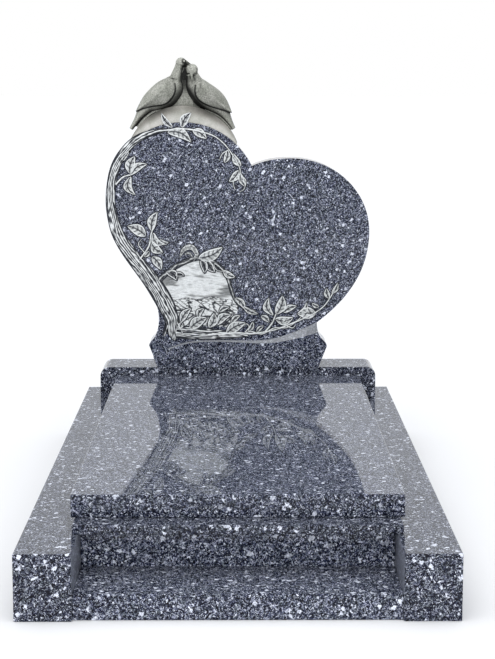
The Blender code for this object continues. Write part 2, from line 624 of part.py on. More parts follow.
def make_doves():
    """Two doves that lean together on a saddle, cast as one piece."""
    unit = DOVES_HEIGHT / 100
    lobe_x, _ = on_stone(LEFT_LOBE_CENTRE_X, 0)
    lobe_radius = LEFT_LOBE_RADIUS * HEADSTONE_HEIGHT / 100
    lobe_end = NOTCH_ANGLE + LOBE_ANGLE_STEP * LOBE_STEPS
    seat_outline = arc((-DOVES_OFFSET, -lobe_radius), lobe_radius + JOINT_GAP,
                       NOTCH_ANGLE, lobe_end, LOBE_STEPS)
    seat = prism("seat", seat_outline, -HEADSTONE_THICKNESS, HEADSTONE_THICKNESS)
    half_depth = HEADSTONE_THICKNESS / 2 - SADDLE_INSET
    saddle_outline = arc((0.0, SADDLE_CENTRE_Z * unit), SADDLE_RADIUS * unit,
                         90 - SADDLE_SPREAD, 90 + SADDLE_SPREAD, SADDLE_STEPS)
    saddle = prism("doves", saddle_outline, -half_depth, half_depth)
    web = prism("web", [(x * unit, z * unit) for x, z in WEB],
                -WEB_HALF_DEPTH * unit, WEB_HALF_DEPTH * unit)
    pieces = [web]
    for side, body, under, wing, head, beak in (
            ("left", LEFT_BODY, LEFT_UNDER, LEFT_WING, LEFT_HEAD, LEFT_BEAK),
            ("right", RIGHT_BODY, RIGHT_UNDER, RIGHT_WING, RIGHT_HEAD, RIGHT_BEAK)):
        pieces += [limb(side + "_body", body, BODY_SIDES), limb(side + "_under", under, BODY_SIDES),
                   wings(side + "_wings", wing), ball(side + "_head", *head),
                   limb(side + "_beak", beak, BEAK_SIDES)]
    combine(saddle, pieces, "UNION")
    combine(saddle, [seat], "DIFFERENCE")
    saddle.location = (lobe_x + DOVES_OFFSET, HEADSTONE_FACE_Y + HEADSTONE_THICKNESS / 2,
                       HEADSTONE_BOTTOM_Z + HEADSTONE_HEIGHT)
    finish(saddle, CAST_STONE, CAST, smooth=True)


clear_scene()
make_surround()
make_ledger()
make_base()
make_headstone()
make_doves()
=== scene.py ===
"""Looks of the grave monument: polished blue-grey granite, carved relief and cast doves."""
import math

import bmesh
import bpy
import numpy as np
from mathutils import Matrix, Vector, noise


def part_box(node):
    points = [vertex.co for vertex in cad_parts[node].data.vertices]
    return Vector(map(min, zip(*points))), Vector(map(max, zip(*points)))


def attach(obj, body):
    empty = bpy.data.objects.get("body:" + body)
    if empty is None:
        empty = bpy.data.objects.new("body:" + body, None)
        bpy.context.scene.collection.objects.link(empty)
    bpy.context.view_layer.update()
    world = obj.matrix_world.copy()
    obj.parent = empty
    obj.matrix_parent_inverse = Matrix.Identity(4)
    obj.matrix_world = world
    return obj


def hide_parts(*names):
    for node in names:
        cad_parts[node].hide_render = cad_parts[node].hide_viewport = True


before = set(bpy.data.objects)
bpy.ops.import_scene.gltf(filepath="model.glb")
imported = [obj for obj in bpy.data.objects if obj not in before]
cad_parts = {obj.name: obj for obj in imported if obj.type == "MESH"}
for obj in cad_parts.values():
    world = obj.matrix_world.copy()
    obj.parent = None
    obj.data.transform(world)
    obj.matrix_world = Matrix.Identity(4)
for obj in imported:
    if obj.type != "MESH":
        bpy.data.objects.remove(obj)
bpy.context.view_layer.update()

# Camera, as fitted to the photo
CAMERA_PLACE = (0.0012, -4.690, 1.228)
CAMERA_PITCH = 8.78
CAMERA_YAW = 0.31
CAMERA_LENS = 94.07
SENSOR = 36.0

# The headstone's drawing, in hundredths of its height: x from its middle, z from its underside
HEADSTONE_HEIGHT = 0.784
HEADSTONE_THICKNESS = 0.100
FOOT_STEP = 0.017
LEFT_LOBE_CENTRE_X = -22.45
LEFT_LOBE_RADIUS = 31.3
LEFT_LOBE_CENTRE_Z = 100 - LEFT_LOBE_RADIUS
NOTCH_ANGLE = 26.0
LOBE_ANGLE = 154.0
WAIST_X = 32.5
LEFT_WAIST_Z = 20.0
RIGHT_WAIST_Z = 18.2
FOOT_FLARE = (35.7, 10.5)
FOOT_HEEL = (36.6, 8.6)
FOOT_TOE_X = 33.2
RIGHT_LOBE_TOP = (21.9, 85.5)
RIGHT_LOBE_SIDE = (53.7, 55.6)
LEDGE_FRONT = ((-60.0, -2.0), (-42.0, 0.5), (-30.4, 6.4), (-20.2, 9.8), (-8.0, 10.5), (9.8, 9.8),
               (22.0, 11.3), (32.2, 14.1), (42.0, 16.5), (60.0, 19.0))
LEDGE_BACK = ((-60.0, -1.7), (-42.0, 0.8), (-30.4, 6.7), (-20.2, 10.1), (-8.0, 10.8), (11.0, 10.9),
              (22.0, 13.8), (32.2, 18.1), (42.0, 22.5), (60.0, 26.0))

LEDGE_END_X = -0.225

# Carving, in the same hundredths: knots with half widths, and leaves by stalk, tip, half width, bend
TRUNK = ((-26.1, 10.9, 0.5), (-27.0, 14.5, 2.0), (-27.6, 20.5, 2.8), (-30.6, 27.6, 3.4),
         (-35.6, 35.7, 3.2), (-41.8, 43.9, 2.8), (-46.8, 51.0, 2.5), (-50.1, 58.0, 2.1),
         (-51.8, 68.7, 1.7), (-50.1, 80.6, 1.7), (-45.7, 88.6, 1.6), (-39.4, 94.0, 1.3),
         (-29.4, 97.2, 0.7))
TOP_VINE = ((-31.0, 96.6, 0.30), (-21.3, 97.4, 0.40), (-11.2, 95.2, 0.30), (-6.0, 91.8, 0.25),
            (-2.6, 87.6, 0.22), (0.6, 82.0, 0.22), (1.6, 76.5, 0.15))
ARCH = ((-32.5, 35.6, 1.0), (-25.7, 41.2, 0.9), (-16.5, 44.8, 0.8), (-8.6, 42.4, 0.7),
        (-4.2, 36.7, 0.6), (-2.2, 30.0, 0.5), (0.8, 25.4, 0.35), (7.4, 23.0, 0.25))
LOW_VINE = ((-8.0, 12.9, 0.40), (-1.0, 13.9, 0.35), (5.5, 13.5, 0.40), (11.2, 14.3, 0.35),
            (15.5, 15.2, 0.30), (19.5, 16.7, 0.35), (27.6, 20.1, 0.28), (34.3, 24.0, 0.25),
            (38.1, 28.8, 0.22), (40.5, 34.0, 0.15))
TWINE = ((-6.0, 13.8, 0.20), (0.5, 12.9, 0.25), (5.0, 14.4, 0.22), (10.0, 13.4, 0.25),
         (15.0, 15.9, 0.22), (20.5, 16.2, 0.20), (26.0, 20.3, 0.15))
TENDRILS = (((3.0, 14.2, 0.2), (4.6, 16.2, 0.2), (3.6, 17.6, 0.15), (2.6, 16.6, 0.1)),
            ((20.0, 16.8, 0.2), (22.4, 15.9, 0.2), (23.6, 17.0, 0.12)),
            ((-3.8, 88.8, 0.2), (-6.2, 87.4, 0.2), (-7.4, 84.8, 0.12)),
            ((1.2, 78.6, 0.2), (3.2, 76.6, 0.2), (2.6, 73.2, 0.15), (0.8, 72.0, 0.1)),
            ((0.4, 79.2, 0.2), (-1.8, 76.2, 0.2), (-1.2, 73.0, 0.12)),
            ((-38.4, 47.4, 0.2), (-40.6, 50.4, 0.2), (-39.4, 52.6, 0.12)))
LEFT_STALK = ((-40.8, 43.5, 0.35), (-36.5, 49.5, 0.35), (-35.3, 55.0, 0.3), (-33.4, 60.5, 0.25))
PAIR_STALK = ((-49.6, 74.9, 0.35), (-46.6, 77.9, 0.35), (-42.9, 79.0, 0.25))
SPUR = ((11.2, 14.3, 0.35), (14.0, 17.8, 0.35), (15.6, 21.6, 0.25))
ROOTS = (((-26.0, 14.3, 2.4), (-19.0, 13.9, 2.6), (-11.0, 13.4, 2.2), (-2.0, 12.9, 1.2), (4.0, 12.7, 0.3)),
         ((-27.6, 20.0, 0.9), (-29.6, 15.6, 0.7), (-30.6, 12.6, 0.4)),
         ((-26.4, 20.0, 0.9), (-24.4, 16.4, 0.8), (-22.6, 13.0, 0.5)))
CRESCENTS = (((-18.2, 43.9, 0.4), (-16.9, 46.6, 0.8), (-19.0, 49.3, 1.1), (-22.0, 48.4, 0.9),
              (-23.6, 45.4, 0.2)),
             ((-18.6, 45.2, 0.2), (-19.8, 46.9, 0.4), (-21.6, 46.4, 0.2)))
SADDLE_LEAVES = ((-26.4, 98.0, -30.9, 103.8, 1.2, 0.1), (-22.7, 98.0, -18.8, 104.0, 1.8, 0.12))
CROWN_LEAVES = ((-28.4, 96.2, -18.8, 92.0, 2.1, 0.16), (-18.2, 97.0, -12.6, 93.4, 1.8, 0.08),
                (-5.3, 83.8, -4.2, 89.2, 1.3, -0.1), (1.2, 82.4, -1.9, 87.6, 1.4, 0.1),
                (0.4, 80.6, -3.6, 76.0, 1.6, 0.1), (1.0, 79.4, 3.2, 74.0, 1.2, -0.1))
LEFT_LEAVES = ((-43.8, 79.4, -41.8, 86.4, 2.1, 0.12), (-43.4, 79.0, -36.7, 83.2, 1.7, 0.15),
               (-43.6, 78.2, -41.6, 70.6, 1.8, -0.28), (-37.6, 54.0, -45.0, 58.0, 2.3, -0.08),
               (-35.2, 56.0, -32.8, 63.8, 1.9, 0.12), (-34.6, 55.2, -29.6, 50.6, 1.7, -0.3),
               (-35.2, 51.2, -30.6, 47.0, 1.9, -0.15), (-35.0, 45.4, -31.4, 40.0, 1.9, 0.1),
             (-34.8, 52.8, -33.0, 49.6, 1.0, 0.1), (-36.2, 47.6, -38.4, 45.4, 0.9, 0.1),
             (-31.8, 52.4, -28.2, 51.2, 0.9, -0.2), (-46.6, 84.6, -44.0, 88.2, 1.0, 0.1))
ARCH_LEAVES = ((-16.0, 44.8, -6.2, 49.3, 2.4, -0.1),
               (-6.0, 39.6, -1.0, 37.0, 1.4, -0.1))
SHADED_LEAVES = ((-15.0, 44.0, -13.6, 38.6, 1.5, 0.12), (-12.6, 43.8, -9.4, 39.0, 1.6, -0.08),
                 (-9.8, 42.6, -5.6, 39.4, 1.1, -0.1), (-29.2, 39.2, -25.0, 35.6, 1.7, 0.2),
                 (-25.6, 38.0, -22.0, 37.6, 1.0, 0.1))
LOW_LEAVES = ((-23.5, 18.4, -19.2, 24.2, 1.6, 0.1), (-19.8, 15.6, -12.8, 20.2, 2.3, 0.08),
              (-11.8, 16.2, -9.8, 22.2, 1.9, -0.12), (-8.4, 17.4, -2.8, 21.4, 1.8, 0.18),
              (-4.8, 13.6, 3.2, 18.0, 2.2, 0.08), (14.4, 21.2, 12.8, 28.6, 1.6, 0.25),
              (15.8, 21.6, 18.4, 29.4, 2.1, -0.1), (18.8, 22.4, 24.2, 25.0, 1.4, 0.1),
              (15.4, 19.6, 22.8, 20.2, 1.9, -0.15), (9.6, 20.9, 12.9, 18.2, 1.2, 0.1),
              (24.8, 22.0, 28.2, 26.6, 1.2, -0.25), (32.0, 22.0, 24.4, 21.8, 2.5, -0.02),
              (33.2, 24.6, 30.4, 26.2, 0.9, 0.1), (37.4, 28.2, 36.4, 32.4, 1.2, 0.1),
              (38.6, 30.2, 41.0, 34.6, 1.0, -0.1), (-1.0, 28.4, 3.0, 23.6, 1.3, 0.1),
              (2.2, 24.8, 8.4, 21.8, 1.0, -0.1), (-23.0, 18.2, -24.6, 15.8, 1.1, 0.1),
              (-16.4, 20.2, -13.8, 24.0, 1.3, 0.2), (-2.6, 18.2, 1.0, 21.2, 1.1, 0.1),
              (4.4, 14.6, 6.2, 18.6, 1.0, -0.1), (7.8, 14.2, 10.6, 16.8, 0.9, 0.1),
              (18.6, 17.4, 20.4, 19.4, 0.8, 0.1), (-7.6, 22.6, -3.4, 24.6, 1.1, 0.15))

# Relief heights
TRUNK_RELIEF = 0.006
BRANCH_RELIEF = 0.0035
LEAF_RELIEF = 0.0048
LAND_RELIEF = 0.0010
RELIEF_ROOT = 0.001
# The dark outline round each carved form is painted shadow: a flat dark sheet just in front of the face
SHADOW_OUTLINE = 0.30
SHADOW_OUTLINE_LIFT = 0.0002
LAND_SHADOW_OUTLINE_LIFT = 0.0011
RIM_WIDTH = 0.44
RIM_SHARE = 0.27

# The doves' drawing, in hundredths of their height: x from their middle, z from the lobe's top
DOVES_HEIGHT = 0.204
DOVES_OFFSET = 0.002
SADDLE_INSET = 0.004
SADDLE_RADIUS = 90.5
SADDLE_CENTRE_Z = -64.7
LEFT_BODY = ((-82.0, -11.0, 3.0, 7.0, 0.0), (-72.5, 3.3, 5.0, 9.5, 0.0),
             (-66.2, 12.5, 8.0, 12.5, 0.0), (-53.4, 26.5, 13.7, 18.0, 0.0),
             (-37.7, 35.3, 19.0, 21.5, 0.0), (-24.5, 44.1, 20.0, 22.0, 0.0),
             (-15.0, 53.4, 17.0, 19.0, 0.0), (-11.3, 66.2, 10.8, 13.0, 0.0),
             (-7.1, 79.9, 8.0, 8.6, 0.0), (-3.9, 90.2, 7.1, 7.4, 0.0))
RIGHT_BODY = ((78.8, -11.0, 3.4, 7.0, 0.0), (72.0, 0.0, 5.6, 9.5, 0.0),
              (65.7, 9.6, 9.0, 12.5, 0.0), (55.9, 23.0, 15.2, 18.0, 0.0),
              (41.2, 35.0, 18.9, 21.5, 0.0), (28.8, 45.0, 18.8, 22.0, 0.0),
              (20.1, 55.9, 16.2, 19.0, -1.0), (16.2, 65.7, 12.2, 14.0, -2.0),
              (14.2, 74.5, 9.3, 10.0, -4.0))
LEFT_HEAD = (-3.2, 91.5, 8.3, 0.0)
RIGHT_HEAD = (14.2, 80.9, 9.2, -6.0)
LEFT_BEAK = ((2.0, 93.6, 3.4, 3.4, 0.0), (8.5, 90.6, 2.0, 1.8, 0.0), (14.0, 88.0, 0.5, 0.5, 0.0))
RIGHT_BEAK = ((14.2, 80.0, 3.4, 3.0, -10.0), (14.2, 75.0, 3.8, 3.2, -11.5), (13.8, 69.0, 2.4, 2.4, -13.0),
              (13.6, 61.0, 0.6, 0.6, -13.6))
LEFT_WING = ((-74.5, 16.4, 9.0), (-52.1, 23.5, 16.8), (-28.5, 28.2, 21.2), (-17.5, 37.4, 21.5),
             (-12.0, 48.3, 19.0), (-12.2, 60.0, 15.0), (-17.5, 71.0, 9.0), (-28.0, 67.6, 9.0),
             (-39.8, 61.4, 8.5), (-52.2, 50.8, 8.0), (-64.0, 36.8, 7.0))
RIGHT_WING = ((76.6, 14.0, 9.0), (55.0, 20.6, 16.8), (38.7, 26.6, 21.0), (25.7, 34.3, 21.8),
              (19.3, 45.2, 19.5), (19.6, 57.0, 15.5), (27.0, 67.0, 9.0), (41.0, 59.8, 9.0),
              (57.5, 47.8, 8.0), (68.6, 33.6, 7.0))
WING_CROWN = 25.0
LEFT_UNDER = ((-34.0, 19.5, 2.6, 12.0, 0.0), (-47.6, 14.4, 3.6, 12.0, 0.0),
              (-59.9, 4.6, 3.4, 10.0, 0.0), (-71.5, -8.6, 2.6, 7.0, 0.0))
RIGHT_UNDER = ((34.0, 19.0, 2.6, 12.0, 0.0), (45.0, 14.6, 2.8, 12.0, 0.0), (57.6, 7.4, 3.6, 11.0, 0.0),
               (68.1, -3.0, 3.2, 9.0, 0.0), (75.0, -11.8, 2.4, 7.0, 0.0))
WEB = ((1.0, 84.0), (-3.0, 70.0), (-4.0, 50.0), (-24.0, 18.0), (28.0, 18.0), (11.0, 50.0),
       (9.0, 72.0), (6.0, 84.0))
WEB_HALF_DEPTH = 7.0
THROAT = ((0.0, 91.0), (0.0, 82.0), (14.0, 82.0), (13.0, 88.6), (8.0, 91.0))
THROAT_HALF_DEPTH = 1.6
BETWEEN = ((20.0, 3.2), (55.0, 3.6), (72.0, 4.4), (84.0, 6.5), (88.0, 30.0))
LEFT_EYE = (2.0, 94.5)
NECK_CREASE = ((-21.3, 68.6), (-15.0, 66.9), (-10.0, 66.5))
VOXEL = 0.0014

stone_low, stone_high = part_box("headstone")
FACE_Y = stone_low.y + FOOT_STEP
STONE_Z = stone_low.z
LOBE_TOP_Z = STONE_Z + HEADSTONE_HEIGHT
LOBE_X = LEFT_LOBE_CENTRE_X * HEADSTONE_HEIGHT / 100
LOBE_RADIUS = LEFT_LOBE_RADIUS * HEADSTONE_HEIGHT / 100
DOVES_X = LOBE_X + DOVES_OFFSET
DOVES_Y = FACE_Y + HEADSTONE_THICKNESS / 2


# Granite: sizes of its crystals in metres, and its brightness over the range of its mixed tones
GRAIN = 0.0016
CRYSTAL = 0.0039
FLAKE = 0.0086
WRINKLE = 0.0052
FIBRE = 0.0074
INNER_SIDES = {"kerb_left": 1, "kerb_right": -1}
# The kerbs' inner sides are honed: their lighter dust is partly a sawn finish, partly painted reflection of the
# sheen a polished side shows
INNER_DUST_AND_PAINTED_SHEEN, INNER_SHEEN = 0.16, 0.30
HEART_STONE = (1.12, 0.010)
FINE_STONE = (1.05, 0.010)
GRAIN_SHARE = 0.54
FLECKS_FROM = 0.970
FLAKES_FROM = 0.962
SPARKS_FROM = 0.960
STONE_IOR = 1.31
STONE_TONES = ((0.05, 0.0), (0.32, 0.0), (0.44, 0.004), (0.53, 0.020), (0.62, 0.105),
               (0.71, 0.29), (0.81, 0.56), (1.0, 0.85))

# How light each stone is against the headstone: partly its own tone, partly painted light that evens out how the
# lamps fall on it; the front kerb is lifted against the shade under the step's nosing
STONE_LIGHTNESS_AND_PAINTED_LIGHT = {"kerb_left": 0.52, "kerb_right": 0.55, "kerb_front": 0.96, "kerb_back": 0.8,
                "front_step": 0.72, "ledger_plate": 0.52, "ledger_slab": 0.68, "headstone_base": 0.53}


# The studio's wrap of light, as elevation in degrees and brightness
SKY_LIGHT = ((0.0, 1.0), (4.0, 1.0), (9.0, 0.80), (11.5, 0.83), (13.0, 0.90), (16.0, 0.93), (24.0, 1.0))
SKY_TINT = (0.965, 0.99, 1.035)
SKY_TINT_FROM = 5.0


# Materials

def linked(tree, node_type, **values):
    """A node with its plain settings made."""
    node = tree.nodes.new(node_type)
    for name, value in values.items():
        setattr(node, name, value)
    return node


def ramp(tree, source, stops):
    """A colour ramp over a value, with its stops as (place, colour)."""
    node = tree.nodes.new("ShaderNodeValToRGB")
    elements = node.color_ramp.elements
    while len(elements) > 1:
        elements.remove(elements[-1])
    elements[0].position = stops[0][0]
    elements[0].color = (*stops[0][1], 1.0)
    for place, colour in stops[1:]:
        elements.new(place).color = (*colour, 1.0)
    tree.links.new(source, node.inputs["Fac"])
    return node.outputs["Color"]


def mixed(tree, factor, first, second, blend="MIX"):
    """Two colours blended by a number or by a socket."""
    node = linked(tree, "ShaderNodeMix", data_type="RGBA", blend_type=blend)
    for socket, value in ((node.inputs[0], factor), (node.inputs[6], first), (node.inputs[7], second)):
        if isinstance(value, bpy.types.NodeSocket):
            tree.links.new(value, socket)
        elif isinstance(value, (int, float)):
            socket.default_value = value
        else:
            socket.default_value = (*value, 1.0)
    return node.outputs[2]


def noise_value(tree, coordinates, scale, detail=2.0, roughness=0.5):
    """A noise texture's value at a scale per metre."""
    node = linked(tree, "ShaderNodeTexNoise")
    node.inputs["Scale"].default_value = scale
    node.inputs["Detail"].default_value = detail
    node.inputs["Roughness"].default_value = roughness
    tree.links.new(coordinates, node.inputs["Vector"])
    return node


def cells(tree, coordinates, size, stretch=1.0):
    """Random values of crystals of a size in metres."""
    node = linked(tree, "ShaderNodeTexVoronoi", feature="F1", distance="MINKOWSKI")
    node.inputs["Scale"].default_value = 1 / size
    node.inputs["Exponent"].default_value = stretch
    tree.links.new(coordinates, node.inputs["Vector"])
    split = linked(tree, "ShaderNodeSeparateColor")
    tree.links.new(node.outputs["Color"], split.inputs["Color"])
    return split.outputs["Red"], split.outputs["Green"], split.outputs["Blue"]


def stone_coordinates(tree, shift, scale):
    """Object coordinates, shifted so that no two stones show the same crystals, and wrinkled."""
    coordinates = linked(tree, "ShaderNodeTexCoord")
    mapping = linked(tree, "ShaderNodeMapping")
    mapping.inputs["Location"].default_value = shift
    mapping.inputs["Rotation"].default_value = (0.5, 0.4, 0.3)
    mapping.inputs["Scale"].default_value = (scale, scale, scale)
    tree.links.new(coordinates.outputs["Object"], mapping.inputs["Vector"])
    wrinkle = noise_value(tree, mapping.outputs["Vector"], 260.0)
    offset = linked(tree, "ShaderNodeVectorMath", operation="MULTIPLY_ADD")
    tree.links.new(wrinkle.outputs["Color"], offset.inputs[0])
    offset.inputs[1].default_value = (WRINKLE, WRINKLE, WRINKLE)
    tree.links.new(mapping.outputs["Vector"], offset.inputs[2])
    return offset.outputs["Vector"]


def weighted(tree, first, first_share, second, second_share):
    """A sum of two values with their shares."""
    scale = linked(tree, "ShaderNodeMath", operation="MULTIPLY")
    tree.links.new(first, scale.inputs[0])
    scale.inputs[1].default_value = first_share
    total = linked(tree, "ShaderNodeMath", operation="MULTIPLY_ADD")
    tree.links.new(second, total.inputs[0])
    total.inputs[1].default_value = second_share
    tree.links.new(scale.outputs["Value"], total.inputs[2])
    return total.outputs["Value"]


def grey(value):
    """The stone's own cold grey at a brightness, a little bluer in its darks."""
    shade = value ** 0.4545
    blueness = 1.60 - 0.90 * shade
    return tuple(max(0.0, shade + step * blueness) ** 2.2 for step in (-0.040, -0.015, 0.054))


def chosen(tree, source, start):
    """A mask of the few crystals whose random value lies above a start."""
    return ramp(tree, source, ((0.0, (0.0, 0.0, 0.0)), (start, (0.0, 0.0, 0.0)),
                               (start + 0.006, (0.7, 0.7, 0.7)), (1.0, (1.0, 1.0, 1.0))))


def granite_colour(tree, shift, shade=1.0, scale=1.0, rare=0.0):
    """Crystals of three sizes: a dark network, grey-blue feldspar and silvery flakes."""
    place = stone_coordinates(tree, shift, scale)
    grain, grain_kind, _ = cells(tree, place, GRAIN)
    crystal, kind, _ = cells(tree, place, CRYSTAL, 0.9)
    flake, flake_kind, _ = cells(tree, place, FLAKE, 0.9)
    tone = weighted(tree, grain, GRAIN_SHARE, crystal, 1 - GRAIN_SHARE)
    colour = ramp(tree, tone, [(stop, grey(value)) for stop, value in STONE_TONES])
    tint = ramp(tree, flake, ((0.0, (0.60, 0.64, 0.62)), (0.5, (1.0, 1.0, 1.0)), (1.0, (1.36, 1.32, 1.38))))
    colour = mixed(tree, 1.0, colour, tint, "MULTIPLY")
    bright = ramp(tree, grain, ((0.0, grey(0.36)), (0.3, grey(0.78)), (1.0, grey(1.0))))
    colour = mixed(tree, 1.0, colour, (shade, shade, shade), "MULTIPLY")
    colour = mixed(tree, chosen(tree, grain_kind, SPARKS_FROM), colour, grey(0.72))
    colour = mixed(tree, chosen(tree, kind, FLECKS_FROM + rare), colour, bright)
    return mixed(tree, chosen(tree, flake_kind, FLAKES_FROM + rare), colour, bright), place


def new_material(name, roughness, specular=0.5):
    """A material with its shader, ready for its colour."""
    made = bpy.data.materials.new(name)
    made.use_nodes = True
    shader = made.node_tree.nodes["Principled BSDF"]
    shader.inputs["Roughness"].default_value = roughness
    shader.inputs["Specular IOR Level"].default_value = specular
    return made, made.node_tree, shader


def polished_granite(name, shift, shade=1.0, scale=1.0, rare=0.0):
    """Polished larvikite granite."""
    made, tree, shader = new_material(name, 0.025)
    shader.inputs["IOR"].default_value = STONE_IOR
    colour, place = granite_colour(tree, shift, shade, scale, rare)
    tree.links.new(colour, shader.inputs["Base Color"])
    waves = noise_value(tree, place, 260.0)
    bump = linked(tree, "ShaderNodeBump")
    bump.inputs["Strength"].default_value = 0.015
    bump.inputs["Distance"].default_value = 0.0002
    tree.links.new(waves.outputs["Fac"], bump.inputs["Height"])
    tree.links.new(bump.outputs["Normal"], shader.inputs["Normal"])
    return made


def honed_granite(name, shift, dust, roughness):
    """Granite with a dull, sawn surface, as light as its dust."""
    made, tree, shader = new_material(name, roughness)
    colour, place = granite_colour(tree, shift)
    tree.links.new(mixed(tree, dust, colour, (0.34, 0.35, 0.36)), shader.inputs["Base Color"])
    return made


def carved_stone(name, shift):
    """The matt light surface that a chisel and sandblasting leave, toned by the carving's depth and drawing, with
    painted shadow round its forms and painted shading on its stems.
    """
    made, tree, shader = new_material(name, 0.8, 0.3)
    colour, place = granite_colour(tree, shift)
    tone = linked(tree, "ShaderNodeAttribute", attribute_name="tone")
    shade = ramp(tree, tone.outputs["Fac"], ((0.0, (0.018, 0.020, 0.024)), (0.3, (0.11, 0.115, 0.12)),
                                             (0.6, (0.38, 0.39, 0.38)), (1.0, (0.92, 0.94, 0.93))))
    speckle = noise_value(tree, place, 420.0)
    mottle = ramp(tree, speckle.outputs["Fac"], ((0.3, (0.82, 0.83, 0.85)), (0.7, (1.08, 1.08, 1.07))))
    shade = mixed(tree, 1.0, shade, mottle, "MULTIPLY")
    shade = mixed(tree, 0.08, shade, colour)
    tree.links.new(shade, shader.inputs["Base Color"])
    bump = linked(tree, "ShaderNodeBump")
    bump.inputs["Strength"].default_value = 0.4
    bump.inputs["Distance"].default_value = 0.0004
    tree.links.new(speckle.outputs["Fac"], bump.inputs["Height"])
    tree.links.new(bump.outputs["Normal"], shader.inputs["Normal"])
    return made


def cast_stone(name, light, mid, dark, roughcast):
    """Matt cast stone with painted shade in its hollows, from the mesh's tone."""
    made, tree, shader = new_material(name, 0.75, 0.3)
    coordinates = linked(tree, "ShaderNodeTexCoord").outputs["Object"]
    tone = linked(tree, "ShaderNodeAttribute", attribute_name="tone")
    colour = ramp(tree, tone.outputs["Fac"], ((0.0, dark), (0.5, mid), (1.0, light)))
    stain = noise_value(tree, coordinates, 38.0, 4.0, 0.6)
    weather = ramp(tree, stain.outputs["Fac"], ((0.35, (0.80, 0.82, 0.78)), (0.65, (1.06, 1.06, 1.05))))
    colour = mixed(tree, 1.0, colour, weather, "MULTIPLY")
    grain = noise_value(tree, coordinates, 300.0, 2.0, 0.7)
    pale, dull = 1 + roughcast, 1 - 1.4 * roughcast
    speck = ramp(tree, grain.outputs["Fac"], ((0.34, (dull, dull, dull)), (0.5, (0.97, 0.97, 0.97)),
                                              (0.66, (pale, pale, pale))))
    colour = mixed(tree, 1.0, colour, speck, "MULTIPLY")
    tree.links.new(colour, shader.inputs["Base Color"])
    bump = linked(tree, "ShaderNodeBump")
    bump.inputs["Strength"].default_value = 0.5
    bump.inputs["Distance"].default_value = 0.0005
    tree.links.new(grain.outputs["Fac"], bump.inputs["Height"])
    tree.links.new(bump.outputs["Normal"], shader.inputs["Normal"])
    return made


# Shapes

def bezier(start, lead_out, lead_in, end, steps):
    """Points of a cubic curve from its start up to, but not with, its end."""
    points = []
    for step in range(steps):
        t = step / steps
        u = 1 - t
        weights = (u ** 3, 3 * u * u * t, 3 * u * t * t, t ** 3)
        corners = (start, lead_out, lead_in, end)
        points.append(tuple(sum(w * c[axis] for w, c in zip(weights, corners)) for axis in (0, 1)))
    return points


def smooth_route(knots, steps):
    """A smooth curve through all the knots, whose values are interpolated together."""
    route = []
    for index in range(len(knots) - 1):
        before = knots[max(index - 1, 0)]
        start = knots[index]
        end = knots[index + 1]
        after = knots[min(index + 2, len(knots) - 1)]
        for step in range(steps):
            t = step / steps
            route.append(tuple(
                0.5 * (2 * b + (c - a) * t + (2 * a - 5 * b + 4 * c - d) * t * t
                       + (3 * b - a - 3 * c + d) * t ** 3)
                for a, b, c, d in zip(before, start, end, after)))
    route.append(tuple(knots[-1]))
    return route


def arc(centre, radius, start_angle, end_angle, steps):
    """Points of an arc from its start to its end, both with it, angles in degrees."""
    points = []
    for step in range(steps + 1):
        angle = math.radians(start_angle + (end_angle - start_angle) * step / steps)
        points.append((centre[0] + radius * math.cos(angle), centre[1] + radius * math.sin(angle)))
    return points


def sideways(route, index):
    """The unit direction across a route at one of its points."""
    before = route[max(index - 1, 0)]
    after = route[min(index + 1, len(route) - 1)]
    along = Vector((after[0] - before[0], after[1] - before[1])).normalized()
    return -along.y, along.x


def on_stone(x, z):
    """A place on the headstone's drawing as metres in the frame."""
    return x * HEADSTONE_HEIGHT / 100, STONE_Z + z * HEADSTONE_HEIGHT / 100


def on_doves(x, y, z):
    """A place on the doves' drawing as metres in the frame."""
    unit = DOVES_HEIGHT / 100
    return DOVES_X + x * unit, DOVES_Y + y * unit, LOBE_TOP_Z + z * unit


class Sheet:
    """Vertices with a tone each, and faces, that grow into one mesh."""

    def __init__(self):
        self.points = []
        self.tones = []
        self.faces = []

    def point(self, place, tone=0.5):
        self.points.append(place)
        self.tones.append(tone)
        return len(self.points) - 1

    def grid(self, rows):
        """Quads over rows of point numbers."""
        for lower, upper in zip(rows, rows[1:]):
            for index in range(len(lower) - 1):
                self.faces.append((lower[index], lower[index + 1], upper[index + 1], upper[index]))

    def tube(self, rings):
        """Quads round rings of point numbers, closed flat at both ends."""
        self.grid([ring + ring[:1] for ring in rings])
        self.faces.append(tuple(reversed(rings[0])))
        self.faces.append(tuple(rings[-1]))

    def build(self, name, material, sharp=None):
        """The finished object, with its faces out and its shading smooth."""
        mesh = bpy.data.meshes.new(name)
        mesh.from_pydata(self.points, [], self.faces)
        shape = bmesh.new()
        shape.from_mesh(mesh)
        bmesh.ops.recalc_face_normals(shape, faces=shape.faces)
        shape.to_mesh(mesh)
        shape.free()
        tone = mesh.attributes.new("tone", "FLOAT", "POINT")
        tone.data.foreach_set("value", np.clip(self.tones, 0.0, 1.0))
        return placed(name, mesh, material, sharp)


def placed(name, mesh, material, sharp=None):
    """A mesh as a smooth-shaded object that rides on the monument."""
    mesh.materials.clear()
    mesh.materials.append(material)
    mesh.polygons.foreach_set("use_smooth", [True] * len(mesh.polygons))
    if sharp is not None:
        mesh.set_sharp_from_angle(angle=math.radians(sharp))
    item = bpy.data.objects.new(name, mesh)
    bpy.context.collection.objects.link(item)
    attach(item, "root")
    return item


def prism(outline, front, back):
    """An outline in x and z, made solid between two depths, as a sheet."""
    sheet = Sheet()
    near = [sheet.point((x, front, z)) for x, z in outline]
    far = [sheet.point((x, back, z)) for x, z in outline]
    sheet.tube([near, far])
    return sheet


